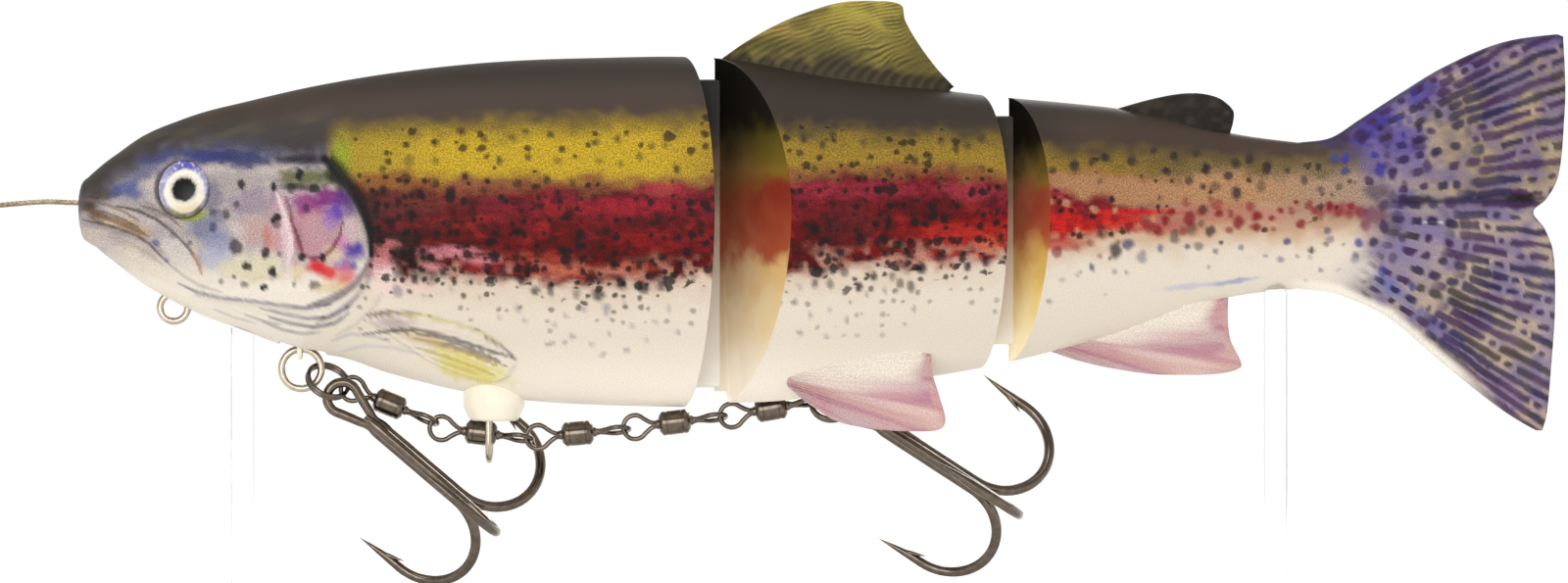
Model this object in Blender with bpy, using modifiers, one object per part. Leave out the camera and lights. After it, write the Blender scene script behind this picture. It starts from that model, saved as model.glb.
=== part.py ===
"""Jointed trout-pattern fishing lure on a plain display stand.

Metres, +Z up. The origin is the middle of the stand's underside. The nose points to -X and the left
flank to -Y. Three soft-plastic sections hang together on two upright hinge webs. A wire leader comes
out of the mouth, and two treble hooks and a chain of five barrel swivels hang under the belly.
"""

import math

import bmesh
import bpy
from mathutils import Matrix, Vector

MM = 0.001
GAP = 0.3 * MM
MERGE = 0.001 * MM
COLLECTION_NAME = "jointed_trout_lure"

# Body form, in millimetres: height of the back and of the belly, and half width, along X.
BACK_LINE = (
    (-100.0, 66.7), (-99.2, 68.6), (-97.4, 70.4), (-95.1, 72.2), (-90.8, 75.0), (-84.2, 77.7),
    (-77.6, 79.4), (-68.4, 81.5), (-57.8, 83.3), (-45.0, 84.7), (-31.4, 85.3), (-14.6, 85.3),
    (1.9, 83.0), (20.9, 80.4), (34.5, 79.1), (41.0, 78.3), (55.6, 75.1), (66.0, 73.7),
)
BELLY_LINE = (
    (-100.0, 61.4), (-97.4, 59.6), (-94.7, 57.5), (-90.8, 54.6), (-84.2, 51.1), (-77.6, 48.6),
    (-70.5, 46.0), (-64.4, 45.0), (-57.8, 42.8), (-47.3, 40.3), (-36.7, 39.0), (-20.0, 38.4),
    (-5.0, 38.6), (8.1, 41.3), (21.2, 43.6), (30.5, 45.7), (45.0, 49.6), (54.3, 53.0), (66.0, 54.5),
)
HALF_WIDTH = (
    (-100.0, 2.3), (-99.0, 3.6), (-96.5, 5.4), (-92.0, 7.4), (-84.0, 9.7), (-74.0, 11.6), (-60.0, 13.0),
    (-42.0, 13.6), (-12.0, 13.5), (6.0, 12.2), (25.0, 10.0), (42.0, 7.2), (55.0, 4.7), (66.0, 3.1),
)
WIDEST_HEIGHT_SHARE = 0.57
UPPER_ROUNDNESS = 1.95
LOWER_ROUNDNESS = 1.85
FORM_SIDES = 20
NOSE_STATIONS = (-100.0, -99.6, -98.6, -96.8, -94.0, -90.0, -85.0, -79.5)
TRUNK_STATION_PITCH = 7.0
NOSE_X = -100.0
STALK_END_X = 64.1

# Joints: each hinge axis is upright, at the ridge of the wedge behind it.
MIDDLE_HINGE_X = -14.57
TAIL_HINGE_X = 25.05
FRONT_GROOVE_X = -18.66
FRONT_GROOVE_SLOPE = 0.32
MIDDLE_WEDGE_SLOPE = 0.80
MIDDLE_GROOVE_X = 21.3
MIDDLE_GROOVE_SLOPE = 0.35
TAIL_WEDGE_SLOPE = 0.59
WEB_HALF_THICKNESS = 1.2
FRONT_WEB_Z = (41.0, 82.4)
REAR_WEB_Z = (46.8, 77.5)
GILL_LINE = ((-68.0, 92.0), (-67.0, 72.0), (-62.0, 63.0), (-64.0, 54.5), (-70.8, 50.2), (-73.6, 47.0), (-73.6, 30.0))
LOWER_JAW_OUTLINE = (
    (-102.0, 64.4), (-98.2, 63.7), (-93.7, 62.2), (-89.4, 60.6), (-87.8, 58.0), (-88.2, 54.6), (-90.0, 50.0),
    (-102.0, 50.0),
)
GILL_COVER_OUTLINE = (
    (-73.4, 66.0), (-71.8, 71.5), (-68.6, 71.2), (-65.4, 68.2), (-63.0, 63.4), (-63.0, 59.6), (-65.6, 55.4),
    (-70.6, 53.2), (-73.6, 55.6), (-72.2, 60.5),
)
GILL_COVER_THICKNESS = 0.5

# Eyes
EYE_X, EYE_Z = -86.0, 67.7
EYE_RADIUS = 3.7
EYE_HALF_DEPTH = 2.0
EYE_SINK = 0.9

# Fins: side outlines in millimetres. Each is cut back from the body, which it meets with a thin gap.
DORSAL_OUTLINE = (
    (-13.2, 82.0), (-13.4, 85.3), (-10.2, 87.4), (-5.9, 89.8), (-1.4, 91.6), (2.6, 92.8), (6.5, 92.9),
    (10.6, 92.4), (11.2, 90.4), (12.9, 87.4), (15.4, 84.0), (17.6, 81.6), (17.8, 79.0),
)
ADIPOSE_OUTLINE = (
    (39.0, 77.0), (39.8, 78.6), (44.8, 79.8), (49.6, 80.5), (53.2, 79.9), (55.2, 78.3), (55.2, 76.8), (54.4, 75.0),
    (48.0, 75.0),
)
ANAL_OUTLINE = (
    (32.2, 48.0), (34.1, 44.7), (40.2, 43.2), (47.2, 42.7), (56.3, 43.6), (55.0, 48.5), (54.4, 52.0), (54.8, 54.6),
    (47.0, 54.0),
)
PELVIC_OUTLINE = (
    (-4.6, 41.0), (-3.2, 39.3), (-0.9, 37.2), (2.8, 36.0), (8.0, 35.1), (13.2, 35.1), (16.4, 36.0), (15.4, 39.8),
    (14.6, 43.5), (6.0, 44.0),
)
PECTORAL_OUTLINE = (
    (-61.0, 50.6), (-56.6, 50.7), (-50.8, 49.7), (-45.0, 47.9), (-41.0, 44.6), (-43.2, 41.9), (-47.0, 42.6),
    (-52.8, 44.6), (-57.4, 47.8),
)
CAUDAL_UPPER_EDGE = ((64.4, 73.8), (68.4, 74.5), (72.2, 76.9), (77.9, 80.6), (83.5, 84.0), (91.2, 87.3), (98.7, 88.5))
CAUDAL_REAR_EDGE = (
    (99.7, 87.8), (100.0, 77.9), (99.1, 69.6), (97.5, 65.8), (95.7, 64.5), (97.2, 62.4), (98.4, 59.0), (98.6, 51.4),
    (98.1, 43.9), (97.5, 37.4), (96.9, 35.4),
)
CAUDAL_LOWER_EDGE = ((95.9, 35.3), (91.2, 38.2), (83.5, 44.3), (76.0, 50.6), (69.2, 53.7), (64.4, 54.4))
FIN_ROOT_HALF_THICKNESS = 1.1
FIN_TIP_HALF_THICKNESS = 0.35
CAUDAL_ROOT_HALF_THICKNESS = 3.2
CAUDAL_TIP_HALF_THICKNESS = 0.5
ADIPOSE_HALF_THICKNESS = 1.3
PELVIC_ROOT_Y = 5.8
PELVIC_SPLAY_DEG = 10.0
PECTORAL_THICKNESS = 0.8

# Rig under the belly, in millimetres
CHIN_LOOP = {"centre": (-87.15, 0.0, 51.75), "radius": 1.85, "wire": 0.46}
BELLY_RING = {"centre": (-70.0, 0.0, 43.5), "radius": 2.67, "wire": 0.48}
FRONT_SPLIT_RING = {"centre": (-66.4, -0.4, 41.85), "radius": 2.85, "wire": 0.42}
FRONT_SPLIT_RING_TURN = (-50.0, 28.0)
REAR_SPLIT_RING = {"centre": (1.25, 0.0, 38.9), "radius": 2.7, "wire": 0.42}
REAR_SPLIT_RING_TURN_DEG = -35.0
EXIT_LOOP = {"centre": (-70.2, 0.0, 46.1), "radius": 1.05, "wire": 0.33}
EXIT_POCKET = ((-72.8, -66.9), 1.75, 48.3)
BELLY_SLOT = ((-16.0, 5.6), 2.3, 40.5)
RING_RECESS = ((-2.6, 6.6), 3.0, 42.7)
POST_X = -44.1
POST_RADIUS, POST_FOOT_RADIUS = 4.1, 3.25
POST_STEP_Z, POST_BOTTOM_Z, POST_TOP_Z = 38.1, 36.3, 43.0
POST_LOOP_RADIUS, POST_LOOP_WIRE = 2.25, 0.4
POST_LOOP_X, POST_LOOP_ARC_Z = -44.75, 33.5
SWIVEL_BARRELS = (
    ((-58.15, 0.0, 38.77), 22.0), ((-45.85, 0.0, 34.85), 7.0), ((-32.85, 0.0, 34.8), -5.0), ((-19.8, 0.0, 36.3), -7.0),
    ((-6.85, 0.0, 38.15), -10.0),
)
BARREL_RADIUS, BARREL_LENGTH, BARREL_BORE_RADIUS = 1.6, 4.2, 0.72
SWIVEL_EYE_REACH, SWIVEL_EYE_RADIUS, SWIVEL_EYE_WIRE = 5.35, 1.62, 0.31
SWIVEL_PIN_RADIUS = 0.42

# Treble hooks, in millimetres: lengths are measured along the shank from the middle of the eye.
FRONT_HOOK_EYE, FRONT_HOOK_DROOP_DEG = (-64.4, -1.24, 39.6), 40.5
REAR_HOOK_EYE, REAR_HOOK_DROOP_DEG = (3.3, 0.0, 39.0), 33.0
HOOK_WIRE = 0.72
HOOK_SHANK_RADIUS = 1.2
HOOK_EYE_RADIUS, HOOK_EYE_WIRE, HOOK_EYE_NECK = 2.1, 0.6, 4.6
HOOK_BEND_START, HOOK_BEND_RADIUS, HOOK_POINT = 21.2, 7.0, 15.2
HOOK_ROOT = 16.0
HOOK_BEND_OFFSET = 0.5
HOOK_POINT_FLARE = 0.5
BARB_REACH, BARB_LENGTH = 1.15, 2.4

# Leader and stand, in millimetres
LEADER_ROUTE = (
    (-98.3, 0.0, 65.75), (-101.0, 0.0, 65.85), (-104.6, 0.0, 65.95), (-110.5, 0.0, 65.5), (-120.0, 0.0, 64.6),
    (-131.0, 0.0, 63.5),
)
LEADER_RADIUS, LEADER_POINTS = 0.35, 18
LEADER_BORE_RADIUS, LEADER_BORE_DEPTH = 0.7, 3.5
CRIMP_LENGTH, CRIMP_RADIUS = 5.0, 0.95
END_LOOP_LENGTH, END_LOOP_HALF_WIDTH = 8.0, 1.9
BASE_SIZE, BASE_BEVEL, BASE_CENTRE_X = (160.0, 56.0, 4.5), 1.2, -8.5
ROD_RADIUS, ROD_XS = 1.6, {"stand_rod_front": -77.9, "stand_rod_rear": 61.0}

FINISHES = {
    "body_print": ((0.52, 0.40, 0.33), 0.42, 0.0),
    "joint_plastic": ((0.55, 0.36, 0.18), 0.38, 0.0),
    "fin_print": ((0.56, 0.47, 0.50), 0.45, 0.0),
    "eye": ((0.80, 0.78, 0.70), 0.12, 0.0),
    "clear_post": ((0.86, 0.83, 0.74), 0.35, 0.0),
    "bright_wire": ((0.62, 0.58, 0.52), 0.25, 1.0),
    "black_nickel": ((0.16, 0.14, 0.13), 0.28, 1.0),
    "stand": ((0.80, 0.80, 0.79), 0.40, 0.0),
    "clear_rod": ((0.90, 0.92, 0.92), 0.08, 0.0),
}


def clear_scene():
    """Remove every object that the file starts with."""
    for item in list(bpy.data.objects):
        bpy.data.objects.remove(item, do_unlink=True)


def make_collection(name):
    """Link a new collection to the scene and return it."""
    collection = bpy.data.collections.new(name)
    bpy.context.scene.collection.children.link(collection)
    return collection


def make_material(name):
    """Principled material of one named finish."""
    colour, roughness, metallic = FINISHES[name]
    material = bpy.data.materials.new(name)
    material.use_nodes = True
    shader = material.node_tree.nodes["Principled BSDF"]
    shader.inputs["Base Color"].default_value = (*colour, 1.0)
    shader.inputs["Roughness"].default_value = roughness
    shader.inputs["Metallic"].default_value = metallic
    return material


def profile_value(points, x):
    """Smooth value at x through (x, value) pairs, by cubic pieces with averaged slopes."""
    if x <= points[0][0]:
        return points[0][1]
    if x >= points[-1][0]:
        return points[-1][1]
    index = next(i for i in range(len(points) - 1) if x <= points[i + 1][0])

    def slope(i):
        low, high = max(i - 1, 0), min(i + 1, len(points) - 1)
        return (points[high][1] - points[low][1]) / (points[high][0] - points[low][0])

    (x0, v0), (x1, v1) = points[index], points[index + 1]
    span = x1 - x0
    t = (x - x0) / span
    m0, m1 = slope(index) * span, slope(index + 1) * span
    return (
        (2 * t**3 - 3 * t**2 + 1) * v0
        + (t**3 - 2 * t**2 + t) * m0
        + (3 * t**2 - 2 * t**3) * v1
        + (t**3 - t**2) * m1
    )


def form_point(x, angle, grow):
    """Point of the body's skin at a station and an angle round it, in metres."""
    back = profile_value(BACK_LINE, x) + grow
    belly = profile_value(BELLY_LINE, x) - grow
    half = profile_value(HALF_WIDTH, x) + grow
    middle = belly + WIDEST_HEIGHT_SHARE * (back - belly)
    side, rise = math.cos(angle), math.sin(angle)
    roundness = UPPER_ROUNDNESS if rise > 0 else LOWER_ROUNDNESS
    reach = back - middle if rise > 0 else middle - belly
    y = half * math.copysign(abs(side) ** (2 / roundness), side)
    z = middle + reach * math.copysign(abs(rise) ** (2 / roundness), rise)
    return Vector((x, y, z)) * MM


def form_stations(x_start, x_end):
    """Station positions between two ends, close together at the nose."""
    count = int((STALK_END_X - NOSE_STATIONS[-1]) / TRUNK_STATION_PITCH) + 1
    pitch = (STALK_END_X - NOSE_STATIONS[-1]) / count
    every = list(NOSE_STATIONS) + [NOSE_STATIONS[-1] + pitch * (i + 1) for i in range(count)]
    inner = [x for x in every if x_start + 0.5 < x < x_end - 0.5]
    return [x_start, *inner, x_end]


def trout_form(x_start, x_end, grow=0.0):
    """Closed loft of the body between two stations, grown evenly by an amount in millimetres."""
    mesh = bmesh.new()
    previous = None
    for x in form_stations(x_start, x_end):
        ring = bmesh.ops.create_circle(mesh, cap_ends=False, segments=FORM_SIDES, radius=1.0)["verts"]
        for i, vertex in enumerate(ring):
            vertex.co = form_point(x, 2 * math.pi * (i + 0.5) / FORM_SIDES, grow)
        edges = list({edge for vertex in ring for edge in vertex.link_edges})
        if previous is None:
            bmesh.ops.contextual_create(mesh, geom=edges)
        else:
            bmesh.ops.bridge_loops(mesh, edges=previous + edges)
        previous = edges
    bmesh.ops.contextual_create(mesh, geom=previous)
    bmesh.ops.recalc_face_normals(mesh, faces=mesh.faces)
    return new_object("form", mesh)


def new_object(name, mesh):
    """Wrap a bmesh in a scene object and free it."""
    data = bpy.data.meshes.new(name)
    mesh.to_mesh(data)
    mesh.free()
    item = bpy.data.objects.new(name, data)
    bpy.context.scene.collection.objects.link(item)
    return item


def baked(item):
    """Replace an object by a plain mesh object of what it evaluates to, in world space."""
    bpy.context.view_layer.update()
    graph = bpy.context.evaluated_depsgraph_get()
    data = bpy.data.meshes.new_from_object(item.evaluated_get(graph))
    mesh = bmesh.new()
    mesh.from_mesh(data)
    bmesh.ops.remove_doubles(mesh, verts=mesh.verts, dist=MERGE)
    bmesh.ops.transform(mesh, matrix=item.matrix_world, verts=mesh.verts)
    name = item.name
    bpy.data.objects.remove(item, do_unlink=True)
    return new_object(name, mesh)


def combine(target, tool, operation):
    """Boolean the tool into the target, remove the tool and return the new target."""
    cut = target.modifiers.new(operation, "BOOLEAN")
    cut.operation = operation
    cut.object = tool
    result = baked(target)
    bpy.data.objects.remove(tool, do_unlink=True)
    return result


def outline_prism(points, half_depth, upright=True, smooth=False):
    """Extruded outline: (x, z) points pushed along Y if upright, otherwise (x, y) points along Z."""
    curve = bpy.data.curves.new("outline", "CURVE")
    curve.dimensions = "2D"
    curve.fill_mode = "BOTH"
    curve.extrude = half_depth * MM
    curve.resolution_u = 3
    spline = curve.splines.new("BEZIER" if smooth else "POLY")
    if smooth:
        spline.bezier_points.add(len(points) - 1)
        for knot, (a, b) in zip(spline.bezier_points, points, strict=True):
            knot.co = (a * MM, b * MM, 0)
            knot.handle_left_type = knot.handle_right_type = "AUTO"
    else:
        spline.points.add(len(points) - 1)
        for knot, (a, b) in zip(spline.points, points, strict=True):
            knot.co = (a * MM, b * MM, 0, 1)
    spline.use_cyclic_u = True
    item = bpy.data.objects.new("outline", curve)
    bpy.context.scene.collection.objects.link(item)
    if upright:
        item.rotation_euler = (math.radians(90), 0, 0)
    return baked(item)


def wire(name, points, radius, cyclic=False, radii=None, resolution=2):
    """Round wire through points in millimetres, as a closed mesh."""
    curve = bpy.data.curves.new(name, "CURVE")
    curve.dimensions = "3D"
    curve.bevel_depth = radius * MM
    curve.bevel_resolution = resolution
    curve.use_fill_caps = True
    spline = curve.splines.new("POLY")
    spline.points.add(len(points) - 1)
    for i, (knot, point) in enumerate(zip(spline.points, points, strict=True)):
        knot.co = (*(Vector(point) * MM), 1)
        knot.radius = radii[i] if radii else 1.0
    spline.use_cyclic_u = cyclic
    item = bpy.data.objects.new(name, curve)
    bpy.context.scene.collection.objects.link(item)
    return baked(item)


def ring_points(radius, count, start_deg=0.0, sweep_deg=360.0):
    """Points of an arc in the XZ plane about the origin; a full turn leaves out its last point."""
    steps = count if sweep_deg == 360.0 else count - 1
    angles = [math.radians(start_deg + sweep_deg * i / steps) for i in range(count)]
    return [Vector((radius * math.cos(a), 0, radius * math.sin(a))) for a in angles]


def ring(name, size, turn=Matrix.Identity(3), count=16):
    """Round wire ring, in the XZ plane unless it is turned."""
    centre = Vector(size["centre"])
    points = [centre + turn @ point for point in ring_points(size["radius"], count)]
    return wire(name, points, size["wire"], cyclic=True, resolution=1)


def cylinder(name, radius, length, sides=16, bevel=0.0):
    """Cylinder along X about the origin, sizes in millimetres."""
    mesh = bmesh.new()
    bmesh.ops.create_cone(
        mesh, cap_ends=True, segments=sides, radius1=radius * MM, radius2=radius * MM, depth=length * MM
    )
    bmesh.ops.rotate(mesh, verts=mesh.verts, matrix=Matrix.Rotation(math.radians(90), 3, "Y"))
    if bevel:
        rims = [edge for edge in mesh.edges if len({len(face.verts) for face in edge.link_faces}) == 2]
        bmesh.ops.bevel(
            mesh, geom=rims, offset=bevel * MM, segments=1, profile=0.5, affect="EDGES", material=-1
        )
    return new_object(name, mesh)


def rod_up(name, x, radius, z_low, z_high, sides=20):
    """Upright round rod between two heights, in millimetres."""
    mesh = bmesh.new()
    bmesh.ops.create_cone(
        mesh, cap_ends=True, segments=sides, radius1=radius * MM, radius2=radius * MM, depth=(z_high - z_low) * MM
    )
    bmesh.ops.translate(mesh, verts=mesh.verts, vec=Vector((x, 0, (z_low + z_high) / 2)) * MM)
    return new_object(name, mesh)


def box(x_range, y_range, z_range):
    """Box between three pairs of limits, in millimetres."""
    mesh = bmesh.new()
    bmesh.ops.create_cube(mesh, size=1.0)
    low = Vector((x_range[0], y_range[0], z_range[0])) * MM
    high = Vector((x_range[1], y_range[1], z_range[1])) * MM
    bmesh.ops.scale(mesh, verts=mesh.verts, vec=high - low)
    bmesh.ops.translate(mesh, verts=mesh.verts, vec=(low + high) / 2)
    return new_object("box", mesh)


def plan_wedge(front_x, front_slope, rear_x, rear_slope):
    """Plan outline with a ridge or nose at its front and a groove at its rear, extruded over the height."""
    side = 20.0
    points = (
        (front_x, 0.0),
        (front_x + front_slope * side, -side),
        (rear_x + rear_slope * side, -side),
        (rear_x, 0.0),
        (rear_x + rear_slope * side, side),
        (front_x + front_slope * side, side),
    )
    prism = outline_prism(points, 60.0, upright=False)
    prism.location.z = 60.0 * MM
    return baked(prism)


def gill_prism(shift):
    """Everything ahead of the gill line, moved back by an amount in millimetres."""
    behind = [(x + shift, z) for x, z in GILL_LINE]
    return outline_prism([(-110.0, 92.0), *behind, (-110.0, 30.0)], 30.0)


def eye_ball(side, grow=0.0):
    """Flattened ball set into the side of the head; side is -1 for left and 1 for right."""
    mesh = bmesh.new()
    bmesh.ops.create_uvsphere(mesh, u_segments=16, v_segments=8, radius=1.0)
    bmesh.ops.rotate(mesh, verts=mesh.verts, matrix=Matrix.Rotation(math.radians(90), 3, "X"))
    size = Vector((EYE_RADIUS + grow, EYE_HALF_DEPTH + grow, EYE_RADIUS + grow)) * MM
    bmesh.ops.scale(mesh, verts=mesh.verts, vec=size)
    middle_z = profile_value(BELLY_LINE, EYE_X) + WIDEST_HEIGHT_SHARE * (
        profile_value(BACK_LINE, EYE_X) - profile_value(BELLY_LINE, EYE_X)
    )
    reach = profile_value(BACK_LINE, EYE_X) - middle_z
    share = max(EYE_Z - middle_z, 0.0) / reach
    flank = profile_value(HALF_WIDTH, EYE_X) * (1 - share**UPPER_ROUNDNESS) ** (1 / UPPER_ROUNDNESS)
    tilt = Matrix.Rotation(math.radians(side * 14.0), 3, "X") @ Matrix.Rotation(math.radians(side * 14.0), 3, "Z")
    bmesh.ops.rotate(mesh, verts=mesh.verts, matrix=tilt)
    bmesh.ops.translate(mesh, verts=mesh.verts, vec=Vector((EYE_X, side * (flank - EYE_SINK), EYE_Z)) * MM)
    return new_object("eye", mesh)


def build_lower_jaw():
    """Lower jaw, parted from the head along the mouth line."""
    return combine(trout_form(NOSE_X, -84.0), outline_prism(LOWER_JAW_OUTLINE, 30.0), "INTERSECT")


def build_head():
    """Head: nose to gill line above the mouth, with eye sockets and the leader's bore."""
    head = combine(trout_form(NOSE_X, -58.0), gill_prism(0.0), "INTERSECT")
    jaw_space = [(x + GAP / MM, z + GAP / MM) for x, z in LOWER_JAW_OUTLINE]
    head = combine(head, outline_prism(jaw_space, 30.0), "DIFFERENCE")
    for side in (-1, 1):
        head = combine(head, eye_ball(side, GAP / MM), "DIFFERENCE")
    bore = cylinder("bore", LEADER_BORE_RADIUS, 2 * LEADER_BORE_DEPTH, sides=12)
    bore.location = Vector((NOSE_X, 0.0, LEADER_ROUTE[1][2])) * MM
    return combine(head, baked(bore), "DIFFERENCE")


def build_front_trunk():
    """Front section behind the gills, with the joint groove behind and the leader's pocket below."""
    trunk = combine(trout_form(-80.0, -10.0), gill_prism(GAP / MM), "DIFFERENCE")
    trunk = combine(trunk, plan_wedge(-120.0, 0.0, FRONT_GROOVE_X, FRONT_GROOVE_SLOPE), "INTERSECT")
    x_range, half, top = EXIT_POCKET
    return combine(trunk, box(x_range, (-half, half), (35.0, top)), "DIFFERENCE")


def build_middle_trunk():
    """Middle section, wedge in front and groove behind, with the belly slot for the rear rig."""
    trunk = trout_form(-17.0, 27.0)
    wedge = plan_wedge(MIDDLE_HINGE_X, MIDDLE_WEDGE_SLOPE, MIDDLE_GROOVE_X, MIDDLE_GROOVE_SLOPE)
    trunk = combine(trunk, wedge, "INTERSECT")
    for x_range, half, top in (BELLY_SLOT, RING_RECESS):
        trunk = combine(trunk, box(x_range, (-half, half), (30.0, top)), "DIFFERENCE")
    return trunk


def build_tail_trunk():
    """Tail section from its wedge to the end of the stalk."""
    return combine(trout_form(22.0, STALK_END_X), plan_wedge(TAIL_HINGE_X, TAIL_WEDGE_SLOPE, 90.0, 0.0), "INTERSECT")


def web(x_start, x_end, z_range):
    """Upright hinge strip between two sections."""
    return box((x_start, x_end), (-WEB_HALF_THICKNESS, WEB_HALF_THICKNESS), z_range)


def thickness_wedge(z_root, z_tip, root_half, tip_half):
    """Long bar along X whose thickness tapers from one height to another."""
    mesh = bmesh.new()
    bmesh.ops.create_cube(mesh, size=1.0)
    for vertex in mesh.verts:
        at_tip = (vertex.co.z > 0) == (z_tip > z_root)
        half = tip_half if at_tip else root_half
        vertex.co = Vector((300.0 * vertex.co.x, math.copysign(half, vertex.co.y), z_tip if at_tip else z_root)) * MM
    return new_object("taper", mesh)


def median_fin(outline, z_root, z_tip, root_half, body_range):
    """Fin on the middle plane: outline and taper, cut back from the body with a gap."""
    fin = outline_prism(outline, 10.0, smooth=True)
    fin = combine(fin, thickness_wedge(z_root, z_tip, root_half, FIN_TIP_HALF_THICKNESS), "INTERSECT")
    return combine(fin, trout_form(*body_range, grow=GAP / MM), "DIFFERENCE")


def build_caudal_fin():
    """Tail fin: forked outline, tapering in plan from the stalk to a thin rear edge."""
    outline = outline_prism((*CAUDAL_UPPER_EDGE, *CAUDAL_REAR_EDGE, *CAUDAL_LOWER_EDGE), 10.0, smooth=False)
    root, tip = CAUDAL_ROOT_HALF_THICKNESS, CAUDAL_TIP_HALF_THICKNESS
    plan = ((60.0, -root), (66.0, -root), (82.0, -1.1), (102.0, -tip), (102.0, tip), (82.0, 1.1), (66.0, root), (60.0, root))
    taper = outline_prism(plan, 60.0, upright=False)
    taper.location.z = 60.0 * MM
    return combine(outline, baked(taper), "INTERSECT")


def build_pelvic_fin(side):
    """Belly fin of one side, leaning outwards from its root."""
    fin = outline_prism(PELVIC_OUTLINE, 10.0, smooth=True)
    fin = combine(fin, thickness_wedge(42.5, 34.0, FIN_ROOT_HALF_THICKNESS - 0.3, FIN_TIP_HALF_THICKNESS), "INTERSECT")
    fin.matrix_world = (
        Matrix.Translation(Vector((0, side * PELVIC_ROOT_Y, 41.0)) * MM)
        @ Matrix.Rotation(math.radians(side * PELVIC_SPLAY_DEG), 4, "X")
        @ Matrix.Translation(Vector((0, 0, -41.0)) * MM)
    )
    return combine(baked(fin), trout_form(-17.0, 27.0, grow=GAP / MM), "DIFFERENCE")


def flank_plate(outline, thickness, side):
    """Plate of even thickness lying on one flank within an outline."""
    start, end = min(x for x, _ in outline) - 8.0, max(x for x, _ in outline) + 8.0
    plate = outline_prism(outline, 10.0, smooth=True)
    plate.location.y = side * 12.0 * MM
    plate = combine(baked(plate), trout_form(start, end, grow=GAP / MM + thickness), "INTERSECT")
    return combine(plate, trout_form(start - 2.0, end + 2.0, grow=GAP / MM), "DIFFERENCE")


def build_belly_post():
    """Stepped round post under the belly that holds the swivel chain."""
    post = rod_up("post", POST_X, POST_RADIUS, POST_STEP_Z, POST_TOP_Z)
    foot = rod_up("foot", POST_X, POST_FOOT_RADIUS, POST_BOTTOM_Z, POST_STEP_Z + 1.0)
    post = combine(post, foot, "UNION")
    centre, droop = SWIVEL_BARRELS[1]
    seat = cylinder("seat", BARREL_RADIUS + GAP / MM, 4 * POST_RADIUS)
    seat.matrix_world = Matrix.Translation(Vector(centre) * MM) @ Matrix.Rotation(math.radians(droop), 4, "Y")
    post = combine(post, baked(seat), "DIFFERENCE")
    return combine(post, trout_form(-66.0, -24.0, grow=GAP / MM), "DIFFERENCE")


def upright_loop(centre, radius, wire_radius, top_z):
    """U of wire in the YZ plane: two legs down from a height, and a round bottom."""
    x, y, z = centre
    arc = [(x, y + radius * math.cos(a), z + radius * math.sin(a)) for a in
           (math.radians(180 + 180 * i / 10) for i in range(11))]
    return wire("loop", [(x, y - radius, top_z), *arc, (x, y + radius, top_z)], wire_radius, resolution=1)


def swivel_wire():
    """Both eyes of a swivel on their pin: one in the XZ plane at -X, one in the XY plane at +X."""
    pin_length = 2 * (SWIVEL_EYE_REACH - SWIVEL_EYE_RADIUS)
    piece = cylinder("pin", SWIVEL_PIN_RADIUS, pin_length, sides=8)
    for direction, turn in ((-1, Matrix.Identity(3)), (1, Matrix.Rotation(math.radians(90), 3, "X"))):
        size = {"centre": (direction * SWIVEL_EYE_REACH, 0, 0), "radius": SWIVEL_EYE_RADIUS, "wire": SWIVEL_EYE_WIRE}
        piece = combine(piece, ring("eye", size, turn, count=10), "UNION")
    return piece


def swivel_barrel():
    """Barrel of a swivel: a short tube along X."""
    barrel = cylinder("barrel", BARREL_RADIUS, BARREL_LENGTH, sides=12, bevel=0.25)
    return combine(barrel, cylinder("bore", BARREL_BORE_RADIUS, BARREL_LENGTH + 2, sides=8), "DIFFERENCE")


def hook_bend(spin_deg):
    """One bend of a treble with its barb, turned about the shank's axis; 0 opens towards +Z."""
    start, radius, offset = HOOK_BEND_START, HOOK_BEND_RADIUS, HOOK_BEND_OFFSET
    arc = [
        (start + radius * math.sin(a), 0.0, offset + radius - radius * math.cos(a))
        for a in (math.pi * i / 7 for i in range(8))
    ]
    top = offset + 2 * radius
    tip = [(17.6, 0.0, top + 0.6 * HOOK_POINT_FLARE), (HOOK_POINT, 0.0, top + HOOK_POINT_FLARE)]
    points = [(HOOK_ROOT, 0.0, 0.2), *arc, *tip]
    radii = [1.0] * (len(points) - 2) + [0.85, 0.12]
    bend = wire("bend", points, HOOK_WIRE, radii=radii)
    barb_root = Vector((17.2, 0.0, top + 0.3))
    barb_tip = barb_root + Vector((BARB_LENGTH, 0.0, -BARB_REACH))
    barb = wire("barb", [barb_root, barb_tip], 0.5 * HOOK_WIRE, radii=[1.0, 0.15], resolution=1)
    bend = combine(bend, barb, "UNION")
    bend.rotation_euler = (math.radians(spin_deg), 0, 0)
    return baked(bend)


def treble_hook():
    """Treble hook along +X from its eye, one bend towards -Y and two leaning to +Y."""
    neck = HOOK_EYE_NECK
    loop = [*ring_points(HOOK_EYE_RADIUS, 10, 50.0, 260.0), Vector((neck, 0, -0.35)), Vector((neck, 0, 0.35))]
    hook = wire("hook", loop, HOOK_EYE_WIRE, cyclic=True)
    shank_length = HOOK_BEND_START - neck
    shank = cylinder("shank", HOOK_SHANK_RADIUS, shank_length, sides=10, bevel=0.3)
    shank.location.x = (neck - 0.4 + shank_length / 2) * MM
    hook = combine(hook, baked(shank), "UNION")
    for spin_deg in (90.0, -30.0, 210.0):
        hook = combine(hook, hook_bend(spin_deg), "UNION")
    return hook


def leader_points():
    """Even points along the smooth curve through the leader's route."""
    xs = [-p[0] for p in LEADER_ROUTE]
    heights = tuple((-p[0], p[2]) for p in LEADER_ROUTE)
    step = (xs[-1] - xs[0]) / (LEADER_POINTS - 1)
    return [(-(xs[0] + step * i), 0.0, profile_value(heights, xs[0] + step * i)) for i in range(LEADER_POINTS)]


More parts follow.
